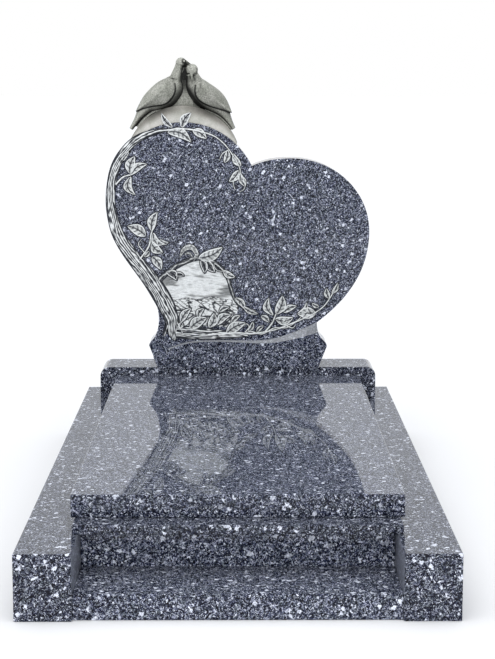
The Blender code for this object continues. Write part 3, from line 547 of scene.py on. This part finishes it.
def applied(item, flat_faces=False):
    """An object's mesh with its modifiers, whose own object is dropped."""
    if flat_faces:
        level = item.modifiers.new("level", "WEIGHTED_NORMAL")
        level.mode = "FACE_AREA"
        level.weight = 100
        level.keep_sharp = True
    bpy.context.view_layer.update()
    graph = bpy.context.evaluated_depsgraph_get()
    mesh = bpy.data.meshes.new_from_object(item.evaluated_get(graph))
    bpy.data.objects.remove(item)
    return mesh


# Slabs and kerbs

def eased_block(node, material, easing, segments=3):
    """A squared stone in a node's place, with soft edges that catch the light."""
    low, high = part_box(node)
    shape = bmesh.new()
    bmesh.ops.create_cube(shape, size=1.0)
    bmesh.ops.scale(shape, vec=high - low, verts=shape.verts)
    bmesh.ops.translate(shape, vec=(low + high) / 2, verts=shape.verts)
    bmesh.ops.bevel(shape, geom=list(shape.edges), offset=easing, segments=segments,
                    profile=0.5, affect="EDGES")
    mesh = bpy.data.meshes.new(node + "_finish")
    shape.to_mesh(mesh)
    shape.free()
    mesh = applied(placed(node + "_block", mesh, material), True)
    item = placed(node + "_finish", mesh, material)
    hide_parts(node)
    return item


def make_slabs():
    """All squared stones, each cut from another part of the quarry block."""
    easings = {"kerb_left": 0.002, "kerb_right": 0.002, "kerb_front": 0.002, "kerb_back": 0.002,
               "front_step": 0.002, "ledger_plate": 0.002, "ledger_slab": 0.003}
    for index, (node, easing) in enumerate(easings.items()):
        shift = (1.7 * index + 0.3, 2.9 * index, 0.7 * index)
        scale, rare = FINE_STONE if node.startswith("ledger") else (1.0, 0.0)
        granite = polished_granite("granite_" + node, shift, STONE_LIGHTNESS_AND_PAINTED_LIGHT[node], scale, rare)
        stone = eased_block(node, granite, easing)
        if node in INNER_SIDES:
            # honed inner sides, lightened partly by painted reflection
            stone.data.materials.append(honed_granite("granite_inner_" + node, shift, INNER_DUST_AND_PAINTED_SHEEN, INNER_SHEEN))
            for face in stone.data.polygons:
                if face.normal.x * INNER_SIDES[node] > 0.9:
                    face.material_index = 1
    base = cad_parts["headstone_base"]
    base.data.materials.clear()
    base.data.materials.append(polished_granite("granite_base", (11.0, 5.0, 3.0),
                                                     STONE_LIGHTNESS_AND_PAINTED_LIGHT["headstone_base"]))


# Headstone

def foot_side(waist_z):
    """One side of the foot, from its waist down to its toe, for the right-hand side."""
    flare_x, flare_z = FOOT_FLARE
    heel_x, heel_z = FOOT_HEEL
    side = bezier((WAIST_X, waist_z), (WAIST_X, waist_z - 4.0), (flare_x - 2.2, flare_z + 2.0),
                  FOOT_FLARE, 18)
    side += bezier(FOOT_FLARE, (flare_x + 0.3, flare_z - 0.4),
                   (heel_x, heel_z + 0.8), FOOT_HEEL, 6)
    side += [FOOT_HEEL, (FOOT_TOE_X, 0.0)]
    return side


def headstone_outline():
    """The leaning heart on its flared foot, in the drawing's hundredths."""
    outline = arc((LEFT_LOBE_CENTRE_X, LEFT_LOBE_CENTRE_Z), LEFT_LOBE_RADIUS,
                  NOTCH_ANGLE, NOTCH_ANGLE + LOBE_ANGLE, 112)
    notch = outline[0]
    side = outline.pop()
    outline += bezier(side, (side[0], side[1] - 25.5), (-WAIST_X, LEFT_WAIST_Z + 14.8),
                      (-WAIST_X, LEFT_WAIST_Z), 56)
    outline += [(-x, z) for x, z in foot_side(LEFT_WAIST_Z)]
    right_foot = list(reversed(foot_side(RIGHT_WAIST_Z)))
    outline += right_foot[:-1]
    side_x, side_z = RIGHT_LOBE_SIDE
    top_x, top_z = RIGHT_LOBE_TOP
    outline += bezier(right_foot[-1], (44.5, 27.3), (side_x, side_z - 16.6), RIGHT_LOBE_SIDE, 48)
    outline += bezier(RIGHT_LOBE_SIDE, (side_x, side_z + 16.5), (top_x + 17.5, top_z),
                      RIGHT_LOBE_TOP, 48)
    outline += bezier(RIGHT_LOBE_TOP, (top_x - 6.4, top_z), (notch[0] + 5.0, notch[1] + 2.3),
                      notch, 20)
    return outline


def make_heart(material):
    """The heart-shaped stone, with the sloping ledge over its foot."""
    outline = [on_stone(x, z) for x, z in headstone_outline()]
    stone = prism(outline, FACE_Y - FOOT_STEP, FACE_Y + HEADSTONE_THICKNESS).build("stone", material)
    space = Sheet()
    rings = []
    for near, far in zip(smooth_route(LEDGE_FRONT, 12), smooth_route(LEDGE_BACK, 12)):
        x, near_z = on_stone(*near)
        far_x, far_z = on_stone(*far)
        top = LOBE_TOP_Z + 0.1
        rings.append([space.point((x, FACE_Y - 2 * FOOT_STEP, 2 * near_z - far_z)),
                      space.point((far_x, FACE_Y, far_z)), space.point((far_x, FACE_Y, top)),
                      space.point((x, FACE_Y - 2 * FOOT_STEP, top))])
    space.tube(rings)
    cutter = space.build("ledge_space", material)
    cut = stone.modifiers.new("ledge", "BOOLEAN")
    cut.operation = "DIFFERENCE"
    cut.solver = "EXACT"
    cut.object = cutter
    ease = stone.modifiers.new("arris", "BEVEL")
    ease.width = 0.0012
    ease.segments = 2
    ease.limit_method = "ANGLE"
    ease.angle_limit = math.radians(35)
    mesh = applied(stone, True)
    bpy.data.objects.remove(cutter)
    item = placed("headstone_heart", mesh, material)
    mesh.materials.append(honed_granite("granite_ledge", (21.0, 4.0, 9.0), 0.66, 0.6))
    for face in mesh.polygons:
        on_ledge = FACE_Y - FOOT_STEP - 0.001 < face.center.y < FACE_Y + 0.001
        face.material_index = int(on_ledge and face.normal.z > 0.3 and face.center.x > LEDGE_END_X)
    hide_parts("headstone")
    return item


# Carving on the face

def eased(low, high, value):
    """A smooth step from 0 to 1 between two values."""
    share = min(1.0, max(0.0, (value - low) / (high - low)))
    return share * share * (3 - 2 * share)


def shadow_outline_point(sheet, x, z):
    """A point of painted shadow beside a carved form, clear of the landscape where there is one."""
    over_land = LAND_LEFT < x < LAND_RIGHT and LAND_LOW < z < LAND_HIGH
    px, pz = on_stone(x, z)
    return sheet.point((px, FACE_Y - (LAND_SHADOW_OUTLINE_LIFT if over_land else SHADOW_OUTLINE_LIFT), pz), 0.0)


def carve_strand(sheet, knots, steps, relief, lanes, surface, seed=0.0):
    """A stem along its knots, over its painted shadow outline. surface gives height and tone by place."""
    route = smooth_route(knots, steps)
    unit = HEADSTONE_HEIGHT / 100
    rows = []
    shadow_outline = []
    along = 0.0
    for index, (x, z, half) in enumerate(route):
        if index:
            along += math.hypot(x - route[index - 1][0], z - route[index - 1][1]) * unit
        across_x, across_z = sideways(route, index)
        # painted shadow: a dark ribbon along both sides of the stem
        reach = half + SHADOW_OUTLINE
        shadow_outline.append([shadow_outline_point(sheet, x + side * reach * across_x, z + side * reach * across_z)
                       for side in (-1, 1)])
        row = []
        for lane in range(lanes + 1):
            side = 2 * lane / lanes - 1
            px, pz = on_stone(x + side * half * across_x, z + side * half * across_z)
            height, tone = surface(along + seed, side, side * half * unit)
            edge = 1 - abs(side) ** 6
            lift = relief * height * edge - RELIEF_ROOT * (1 - edge)
            row.append(sheet.point((px, FACE_Y - lift, pz), tone))
        rows.append(row)
    sheet.grid(rows)
    sheet.grid(shadow_outline)


def bark(along, side, lateral):
    """Fibres that wander, fade and merge, light with dark splits between."""
    place = lateral / FIBRE
    place += 1.8 * noise.noise(Vector((along * 8.0, lateral * 45.0, 3.1)))
    place += 0.5 * noise.noise(Vector((along * 22.0, lateral * 80.0, 9.0)))
    strength = 0.80 + 0.9 * noise.noise(Vector((along * 24.0, lateral * 120.0, 1.3)))
    fibre = math.cos(2 * math.pi * place) * strength
    fleck = noise.noise(Vector((along * 60.0, lateral * 300.0, 6.0)))
    dome = math.sqrt(max(0.0, 1 - side * side))
    # painted shading: darker towards the flanks
    tone = 0.54 + 0.92 * fibre + 1.3 * fleck - 0.50 * (1 - dome)
    return 0.36 + 0.42 * dome + 0.12 * fibre, tone


def smooth_stem(along, side, lateral):
    """A round stem with painted shading, lighter along its crest, and the marks of the chisel."""
    dome = math.sqrt(max(0.0, 1 - side * side))
    mark = noise.noise(Vector((along * 160.0, lateral * 200.0, 2.3)))
    return 0.3 + 0.7 * dome, 0.72 + 0.3 * dome + 0.5 * mark


def curled_stem(along, side, lateral):
    """A curled leaf seen from its edge: white rims over a grey hollow."""
    mark = noise.noise(Vector((along * 220.0, lateral * 200.0, 4.3)))
    return 0.35 + 0.65 * side * side, 0.50 + 0.75 * side ** 4 + 0.5 * mark


def root_stem(along, side, lateral):
    """A twisted branch with a light and a dark thread."""
    thread = math.exp(-((side - 0.35 * math.sin(2 * math.pi * along / 0.06)) / 0.30) ** 2)
    grain = noise.noise(Vector((along * 120.0, lateral * 240.0, 1.7)))
    return 0.4 + 0.5 * thread, 0.14 + 0.66 * thread + 0.5 * grain


def carve_leaf(sheet, stalk_x, stalk_z, tip_x, tip_z, half_width, bend, dark=0.0, shadow_outlined=True):
    """A leaf with a raised white rim, a sunk midrib and side veins, over its painted shadow outline."""
    along = Vector((tip_x - stalk_x, tip_z - stalk_z))
    across = Vector((-along.y, along.x)).normalized()
    length = along.length
    stations, lanes = 34, 24
    rows = []
    shadow_outline = []
    for station in range(stations + 1):
        share = station / stations
        spread = half_width * math.sin(math.pi * share ** 0.82) ** 0.85
        middle = Vector((stalk_x, stalk_z)) + along * share
        middle += across * bend * length * math.sin(math.pi * share)
        # painted shadow: a dark ribbon round the leaf
        outside = middle + along.normalized() * SHADOW_OUTLINE * math.cos(math.pi * share) * -1
        shadow_outline.append([shadow_outline_point(sheet, *(outside + across * side * (spread + SHADOW_OUTLINE)))
                       for side in (-1, 1)])
        row = []
        for lane in range(lanes + 1):
            side = 2 * lane / lanes - 1
            reach = abs(side)
            x, z = on_stone(*(middle + across * side * spread))
            inside = 1 - min(0.75, min(RIM_WIDTH, RIM_SHARE * half_width) / max(spread, 0.01))
            rim = eased(inside - 0.10, inside + 0.05, reach)
            rib = math.exp(-(reach * spread / 0.20) ** 2) * eased(0.0, 0.12, share)
            vein = max(0.0, math.cos(2 * math.pi * (share * length * 0.52 - 0.8 * reach))) ** 3
            vein *= (1 - rim) * (1 - rib)
            fleck = noise.noise(Vector((x * 300.0, z * 300.0, 5.0)))
            height = (0.45 + 0.55 * rim - 0.35 * rib - 0.18 * vein) * (1 - reach ** 12)
            tone = 0.74 + 0.70 * rim - 1.05 * rib - 0.62 * vein + 0.10 * (side > 0) + 0.36 * fleck
            tone -= 0.60 * dark * (1 - 0.5 * rim)
            lift = LEAF_RELIEF * height - RELIEF_ROOT * reach ** 12
            row.append(sheet.point((x, FACE_Y - lift, z), tone))
        rows.append(row)
    sheet.grid(rows)
    # the painted shadow round the leaf, left off the saddle's leaves
    if shadow_outlined:
        sheet.grid(shadow_outline)
    back = [row[0] for row in rows] + [row[-1] for row in reversed(rows)]
    sheet.faces.append(tuple(back))


# The small landscape, a generic one: a clouded sky over a far shore, meadows and stones
LAND_LEFT, LAND_RIGHT = -33.5, 2.5
LAND_LOW, LAND_HIGH = 15.6, 45.2
LAND_COLUMNS, LAND_ROWS = 230, 200
LAND_FOOT_X = -2.0
SHORE = 27.6
STONES_TOP = 22.4
TRUNK_LINE = tuple(zip(*smooth_route(TRUNK, 4)))


def land_surface(x, z):
    """Height share and tone of the landscape at a place on the drawing."""
    ridge = SHORE + 1.5 * math.exp(-((x + 11.0) / 4.0) ** 2) + 1.0 * math.exp(-((x + 21.0) / 3.0) ** 2)
    ridge += 0.25 * noise.noise(Vector((x * 1.1, 4.0, 0.0)))
    if z > ridge:
        cloud = noise.noise(Vector((x * 0.09 + 0.06 * z, z * 0.26, 2.0)))
        cloud += 0.35 * noise.noise(Vector((x * 0.3, z * 1.1 + 0.1 * x, 9.0)))
        wisp = noise.noise(Vector((x * 0.35 + 0.1 * z, z * 1.9, 6.0)))
        return 0.25, 1.02 - 0.46 * eased(0.0, 0.55, cloud) - 0.40 * abs(wisp)
    if z > SHORE:
        grain = noise.noise(Vector((x * 1.2, z * 1.8, 3.0)))
        return 0.5, 0.62 + 0.9 * grain - 0.5 * math.exp(-((ridge - z) / 0.25) ** 2)
    slope = 0.35 if z > STONES_TOP + 1.0 * math.sin(x / 3.1) else -0.25
    wave = noise.noise(Vector((x * 0.20, z * 0.55 + slope * x, 5.0)))
    line = math.exp(-(wave / 0.10) ** 2)
    second = noise.noise(Vector((x * 0.42, z * 1.0, 15.0)))
    contour = math.exp(-(second / 0.10) ** 2) * eased(-0.1, 0.2, wave)
    tuft = noise.noise(Vector((x * 1.3, z * 1.8, 8.0)))
    tone = 1.10 - 1.15 * line - 0.95 * contour - 0.45 * max(0.0, -wave)
    return 0.45 + 0.3 * wave, tone - 1.1 * max(0.0, tuft - 0.18)


def inside_land(x, z):
    """True where the landscape lies, between the trunk, the arch and the roots."""
    left = np.interp(z, TRUNK_LINE[1], TRUNK_LINE[0])
    if z > ARCH[0][1]:
        left = max(left, np.interp(z, [knot[1] for knot in ARCH[:3]], [knot[0] for knot in ARCH[:3]]))
    falling = ARCH[6:1:-1]
    right = np.interp(z, [LAND_LOW] + [knot[1] for knot in falling],
                      [LAND_FOOT_X] + [knot[0] for knot in falling])
    ragged = 0.6 * noise.noise(Vector((x * 0.9, z * 0.9, 0.0)))
    return left < x < right + (ragged if z < SHORE else 0.0) and z > LAND_LOW + 0.8 + ragged


def carve_land(sheet):
    """A grid over the landscape's bounds, kept only inside them."""
    numbers = {}
    for row in range(LAND_ROWS + 1):
        for column in range(LAND_COLUMNS + 1):
            x = LAND_LEFT + (LAND_RIGHT - LAND_LEFT) * column / LAND_COLUMNS
            z = LAND_LOW + (LAND_HIGH - LAND_LOW) * row / LAND_ROWS
            if inside_land(x, z):
                height, tone = land_surface(x, z)
                px, pz = on_stone(x, z)
                numbers[row, column] = sheet.point((px, FACE_Y - LAND_RELIEF * height, pz), tone)
    for row, column in numbers:
        corners = ((row, column), (row, column + 1), (row + 1, column + 1), (row + 1, column))
        if all(corner in numbers for corner in corners):
            sheet.faces.append(tuple(numbers[corner] for corner in corners))


def carving(name, material, maker):
    """One group of carving as a piece on the headstone."""
    sheet = Sheet()
    maker(sheet)
    item = sheet.build(name, material)
    return item


def make_carving():
    """All the relief on the headstone's face."""
    matt = carved_stone("carved_granite", (3.0, 8.0, 1.0))
    carving("carved_trunk", matt,
            lambda sheet: carve_strand(sheet, TRUNK, 44, TRUNK_RELIEF, 80, bark))

    def branches(sheet):
        for knots in (TOP_VINE, LOW_VINE, TWINE, LEFT_STALK, PAIR_STALK, SPUR) + TENDRILS:
            carve_strand(sheet, knots, 14, BRANCH_RELIEF, 8, smooth_stem)
        carve_strand(sheet, ARCH, 40, BRANCH_RELIEF * 1.2, 14, root_stem)
        for knots in CRESCENTS:
            carve_strand(sheet, knots, 16, BRANCH_RELIEF, 12, curled_stem)

    def roots(sheet):
        for number, knots in enumerate(ROOTS):
            carve_strand(sheet, knots, 60, BRANCH_RELIEF, 48, bark, number + 3.0)

    def leaves(sizes, dark=0.0, shadow_outlined=True):
        def maker(sheet):
            for each in sizes:
                carve_leaf(sheet, *each, dark, shadow_outlined)
        return maker

    carving("carved_branches", matt, branches)
    carving("carved_roots", matt, roots)
    carving("carved_landscape", matt, carve_land)
    carving("crown_leaves", matt, leaves(CROWN_LEAVES))
    carving("saddle_leaves", matt, leaves(SADDLE_LEAVES, 0.12, False))
    carving("left_leaves", matt, leaves(LEFT_LEAVES))
    carving("arch_leaves", matt, leaves(ARCH_LEAVES))
    carving("shaded_leaves", matt, leaves(SHADED_LEAVES, 0.7))
    carving("low_leaves", matt, leaves(LOW_LEAVES))


# Doves

def limb(sheet, stations, steps, sides):
    """A rounded form through stations that each give a place and an ellipse."""
    route = smooth_route(stations, steps)
    rings = []
    for index, (x, z, half_height, half_width, shift) in enumerate(route):
        across_x, across_z = sideways(route, index)
        ring = []
        for side in range(sides):
            angle = 2 * math.pi * side / sides
            reach = half_height * math.cos(angle)
            ring.append(sheet.point(on_doves(x + reach * across_x,
                                             shift + half_width * math.sin(angle),
                                             z + reach * across_z)))
        rings.append(ring)
    sheet.tube(rings)


def ball(sheet, x, z, radius, shift, sides=40):
    """A round head or eye."""
    rings = []
    for turn in range(1, sides // 2):
        polar = 2 * math.pi * turn / sides
        rings.append([sheet.point(on_doves(x + radius * math.sin(polar) * math.cos(2 * math.pi * side / sides),
                                           shift + radius * math.sin(polar) * math.sin(2 * math.pi * side / sides),
                                           z + radius * math.cos(polar)))
                      for side in range(sides)])
    sheet.tube(rings)


def wings(sheet, outline):
    """Both folded wings as one pillow through the body."""
    rim = smooth_route(outline + (outline[0],), 8)[:-1]
    centre_x = sum(point[0] for point in rim) / len(rim)
    centre_z = sum(point[1] for point in rim) / len(rim)
    near, far = [], []
    for step in range(1, 15):
        share = step / 14
        ring = [(centre_x + (x - centre_x) * share, depth + (WING_CROWN - depth) * (1 - share ** 2.4),
                 centre_z + (z - centre_z) * share) for x, z, depth in rim]
        near.append([sheet.point(on_doves(x, -depth, z)) for x, depth, z in ring])
        far.append([sheet.point(on_doves(x, depth, z)) for x, depth, z in ring])
    sheet.tube(near + list(reversed(far)))


def mesh_values(mesh):
    """Places, normals and edges of a mesh as arrays."""
    places = np.empty(len(mesh.vertices) * 3)
    mesh.vertices.foreach_get("co", places)
    normals = np.empty(len(mesh.vertices) * 3)
    mesh.vertex_normals.foreach_get("vector", normals)
    edges = np.empty(len(mesh.edges) * 2, dtype=np.int64)
    mesh.edges.foreach_get("vertices", edges)
    return places.reshape(-1, 3), normals.reshape(-1, 3), edges.reshape(-1, 2)


def bulges(places, normals, edges):
    """How far each place stands out from its surroundings."""
    degree = np.bincount(edges.ravel(), minlength=len(places))[:, None].clip(1)

    def averaged(values):
        total = np.zeros_like(values)
        np.add.at(total, edges[:, 0], values[edges[:, 1]])
        np.add.at(total, edges[:, 1], values[edges[:, 0]])
        return total / degree

    smooth = places
    for _ in range(6):
        smooth = averaged(smooth)
    bulge = ((places - smooth) * normals).sum(1)[:, None]
    for _ in range(2):
        bulge = averaged(bulge)
    return bulge[:, 0]


def away_from(route, x, z):
    """Each place's distance from a line through the route's points."""
    nearest = np.full(len(x), 1e9)
    for start, end in zip(route, route[1:]):
        span_x, span_z = end[0] - start[0], end[1] - start[1]
        length = span_x ** 2 + span_z ** 2
        share = np.clip(((x - start[0]) * span_x + (z - start[1]) * span_z) / length, 0.0, 1.0)
        gap = np.hypot(x - start[0] - share * span_x, z - start[1] - share * span_z)
        nearest = np.minimum(nearest, gap)
    return nearest


def step_up(low, high, values):
    """A smooth step from 0 to 1 between two values, for arrays."""
    share = np.clip((values - low) / (high - low), 0.0, 1.0)
    return share * share * (3 - 2 * share)


def dove_tones(mesh):
    """Tone of the casting: painted shade in its creases and hollows and on its sides turned from the light,
    painted light on its bulges and on top.
    """
    places, normals, edges = mesh_values(mesh)
    unit = DOVES_HEIGHT / 100
    x = (places[:, 0] - DOVES_X) / unit
    z = (places[:, 2] - LOBE_TOP_Z) / unit
    # painted light and shade: bulges lighter, hollows darker
    tone = 0.66 + np.clip(bulges(places, normals, edges) / 0.0008, -0.6, 0.25)
    border = np.interp(z, [knot[0] for knot in BETWEEN], [knot[1] for knot in BETWEEN])
    left = x < border
    inward = np.where(left, 0.82, -0.82)
    # painted shade on the sides turned to the other bird and down
    turned_to_shade = normals[:, 0] * inward - normals[:, 2] * 0.57
    tone -= 0.72 * np.where(left, step_up(-0.10, 0.92, turned_to_shade), step_up(0.20, 1.0, turned_to_shade))
    # painted light on the faces turned up
    tone += 0.16 * step_up(0.2, 0.9, normals[:, 2])
    # painted shadow along the lower edges of the wings
    for wing in (LEFT_WING, RIGHT_WING):
        line = [knot[:2] for knot in smooth_route(wing[:6], 8)]
        tone -= 1.0 * np.exp(-(away_from(line, x, z) / 1.0) ** 2)
    # painted shade: the right bird, turned from the light, darker below its head
    tone -= 0.20 * (x > border) * (z < 72.0)
    # painted shade in the crease between neck and wing
    tone -= 0.8 * np.exp(-(away_from(NECK_CREASE, x, z) / 0.7) ** 2)
    web = (np.abs(normals[:, 1]) > 0.9) & (np.abs(places[:, 1] - DOVES_Y) < (WEB_HALF_DEPTH + 0.6) * unit)
    web_tone = 0.76 - 0.69 * step_up(34.0, 60.0, z)
    tone = np.where(web & (np.abs(x - border) < 12.0), web_tone, tone)

    # The eye is only painted: a ring of painted shade round it, and painted light on its centre
    eye = np.hypot(x - LEFT_EYE[0], z - LEFT_EYE[1])
    head = (z > 84.0) & (x < 20.0)
    tone = np.where(head, tone - 0.95 * np.exp(-((eye - 2.9) / 1.3) ** 2), tone)
    tone = np.where(head & (eye < 1.4), 0.95, tone)
    beak = away_from([knot[:2] for knot in LEFT_BEAK], x, z)
    on_beak = (beak < 3.2) & (z > 85.0) & (x > 5.0) & (x < 12.0)
    # the left beak darker, with painted light where it faces up
    tone = np.where(on_beak, 0.18 + 0.3 * step_up(0.3, 0.9, normals[:, 2]), tone)
    # painted shade under the root of the beak
    tone -= 0.5 * np.exp(-((x - 4.0) ** 2 + (z - 88.0) ** 2) / 6.0) * (beak < 6.0)

    from_head = np.hypot(x - RIGHT_HEAD[0], z - RIGHT_HEAD[1])
    # painted light: the right head's top kept light
    tone = np.where((from_head < 10.0) & (z > 76.0) & (x > 6.0) & ~on_beak, np.maximum(tone, 0.78), tone)
    # painted shade on the right head's side away from the light, and on the neck below
    right_head_shade = step_up(5.0, 8.4, from_head) * (x > 15.0) * (from_head < 10.5) * (z < 84.0)
    tone -= 0.50 * right_head_shade
    tone -= 0.45 * np.exp(-(((x - 18.6) / 2.0) ** 2 + ((z - 66.0) / 4.5) ** 2))
    # painted shade in the gap between the two necks and heads
    gap = np.exp(-((x - 2.8) / 3.6) ** 2) * step_up(64.0, 70.0, z) * (1 - step_up(86.0, 90.0, z))
    tone -= 0.90 * gap
    # the front kept no lighter than 0.72 between these heights, and dark streaks on the right bird's throat along
    # its beak
    front = places[:, 1] < DOVES_Y - 2.0 * unit
    tone = np.where(front & (z > 58.0) & (z < 74.0), np.minimum(tone, 0.72), tone)
    for middle_x, middle_z in ((11.6, 69.0), (16.6, 71.0), (14.4, 62.5)):
        mark = np.exp(-((x - middle_x) / 1.5) ** 2 - ((z - middle_z) / 4.2) ** 2)
        tone -= 0.36 * mark * front
    return np.clip(tone, 0.0, 1.0)


def make_saddle(stone):
    """The saddle: a thick crescent between two arcs, with painted shadow where the birds sit."""
    unit = DOVES_HEIGHT / 100
    half_depth = HEADSTONE_THICKNESS / 2 - SADDLE_INSET
    radius = SADDLE_RADIUS * unit
    centre_z = LOBE_TOP_Z + SADDLE_CENTRE_Z * unit
    seat_z = LOBE_TOP_Z - LOBE_RADIUS
    gap = centre_z - seat_z
    meet = (gap ** 2 + LOBE_RADIUS ** 2 - radius ** 2) / (2 * gap)
    reach = math.degrees(math.acos(meet / LOBE_RADIUS)) - 1.0
    spread = math.degrees(math.asin(LOBE_RADIUS * math.sin(math.radians(reach)) / radius))
    lower = arc((LOBE_X, seat_z), LOBE_RADIUS + 0.0004, 90 + reach, 90 - reach, 96)
    upper = arc((DOVES_X, centre_z), radius, 90 + spread, 90 - spread, 96)
    section = [(0.0, 1.0), (0.2, 1.0), (0.4, 1.0), (0.5, 1.0), (0.6, 1.0), (0.7, 1.0), (0.8, 1.0),
               (0.88, 1.0), (0.93, 1.0), (0.965, 0.985), (0.99, 0.955), (1.0, 0.90), (1.0, 0.6)]
    section += [(share, -depth) for share, depth in reversed(section)]
    sheet = Sheet()
    rings = []
    for low, high in zip(lower, upper):
        ring = []
        x = (high[0] - DOVES_X) / unit
        # painted shadow of the birds: darker towards the upper arc, most under the bodies
        shaded = 0.35 + 0.65 * math.exp(-((abs(x) - 36.0) / 30.0) ** 2)
        for share, depth in section:
            tone = 1.0 - 0.95 * shaded * eased(0.20, 1.0, share)
            ring.append(sheet.point((low[0] + (high[0] - low[0]) * share, DOVES_Y - half_depth * depth,
                                     low[1] + (high[1] - low[1]) * share), tone))
        rings.append(ring)
    sheet.tube(rings)
    saddle = sheet.build("doves_saddle", stone, 50)


def make_doves():
    """Two doves on their saddle, as one casting with a soft skin."""
    bird_stone = cast_stone("cast_doves", (0.44, 0.44, 0.40), (0.25, 0.25, 0.225), (0.012, 0.012, 0.011),
                            0.34)
    saddle_stone = cast_stone("cast_saddle", (0.62, 0.605, 0.57), (0.30, 0.285, 0.26), (0.05, 0.048, 0.042),
                              0.08)
    sheet = Sheet()
    for outline, depth in ((WEB, WEB_HALF_DEPTH), (THROAT, THROAT_HALF_DEPTH)):
        near = [sheet.point(on_doves(x, -depth, z)) for x, z in outline]
        far = [sheet.point(on_doves(x, depth, z)) for x, z in outline]
        sheet.tube([near, far])
    for body, under, head, beak, wing in ((LEFT_BODY, LEFT_UNDER, LEFT_HEAD, LEFT_BEAK, LEFT_WING),
                                          (RIGHT_BODY, RIGHT_UNDER, RIGHT_HEAD, RIGHT_BEAK, RIGHT_WING)):
        limb(sheet, body, 10, 64)
        limb(sheet, under, 10, 32)
        limb(sheet, beak, 8, 24)
        ball(sheet, *head)
        wings(sheet, wing)
    rough = sheet.build("doves_rough", bird_stone)
    skin = rough.modifiers.new("skin", "REMESH")
    skin.mode = "VOXEL"
    skin.voxel_size = VOXEL
    soften = rough.modifiers.new("soften", "SMOOTH")
    soften.factor = 0.5
    soften.iterations = 2
    mesh = applied(rough)
    for attribute in [a for a in mesh.attributes if a.name == "tone"]:
        mesh.attributes.remove(attribute)
    tone = mesh.attributes.new("tone", "FLOAT", "POINT")
    tone.data.foreach_set("value", dove_tones(mesh))
    birds = placed("doves_cast", mesh, bird_stone)
    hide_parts("doves")
    make_saddle(saddle_stone)


# Stage

def add_lamp(lamp, place):
    """A lamp at a place, turned to the monument, that no polished face mirrors."""
    item = bpy.data.objects.new(lamp.name, lamp)
    item.location = place
    item.rotation_euler = (Vector((0.0, 0.0, 0.5)) - item.location).to_track_quat("-Z", "Y").to_euler()
    item.visible_glossy = False
    bpy.context.collection.objects.link(item)


def make_stage():
    """A pale floor, soft light from all round and a large soft lamp."""
    floor = bpy.data.meshes.new("floor")
    reach = 60.0
    floor.from_pydata([(-reach, -reach, -0.0005), (reach, -reach, -0.0005),
                       (reach, reach, -0.0005), (-reach, reach, -0.0005)], [], [(0, 1, 2, 3)])
    pale, _, shader = new_material("pale_floor", 0.9, 0.1)
    shader.inputs["Base Color"].default_value = (0.83, 0.83, 0.83, 1.0)
    floor.materials.append(pale)
    ground = bpy.data.objects.new("floor", floor)
    bpy.context.collection.objects.link(ground)

    world = bpy.data.worlds.new("studio")
    world.use_nodes = True
    tree = world.node_tree
    direction = linked(tree, "ShaderNodeTexCoord").outputs["Generated"]
    split = linked(tree, "ShaderNodeSeparateXYZ")
    tree.links.new(direction, split.inputs["Vector"])
    sky = ramp(tree, split.outputs["Z"], [(math.sin(math.radians(angle)), tuple(light * c for c in SKY_TINT)
                                           if angle > SKY_TINT_FROM else (light,) * 3)
                                          for angle, light in SKY_LIGHT])
    tree.links.new(sky, tree.nodes["Background"].inputs["Color"])
    tree.nodes["Background"].inputs["Strength"].default_value = 1.0
    bpy.context.scene.world = world

    lamp = bpy.data.lights.new("overhead", "SUN")
    lamp.energy = 1.0
    lamp.angle = math.radians(60)
    add_lamp(lamp, (-0.5, -0.8, 4.2))
    lamp = bpy.data.lights.new("softbox", "AREA")
    lamp.shape = "RECTANGLE"
    lamp.size = 3.2
    lamp.size_y = 2.4
    lamp.energy = 70.0
    add_lamp(lamp, (-0.15, -6.0, 1.6))

    lens = bpy.data.cameras.new("camera")
    lens.lens = CAMERA_LENS
    lens.sensor_width = SENSOR
    camera = bpy.data.objects.new("camera", lens)
    camera.location = CAMERA_PLACE
    camera.rotation_euler = (math.radians(90 - CAMERA_PITCH), 0.0, math.radians(-CAMERA_YAW))
    bpy.context.collection.objects.link(camera)
    bpy.context.scene.camera = camera
    bpy.context.scene.view_settings.view_transform = "Standard"


make_slabs()
make_heart(polished_granite("granite_heart", (21.0, 4.0, 9.0), 0.77, *HEART_STONE))
make_carving()
make_doves()
make_stage()
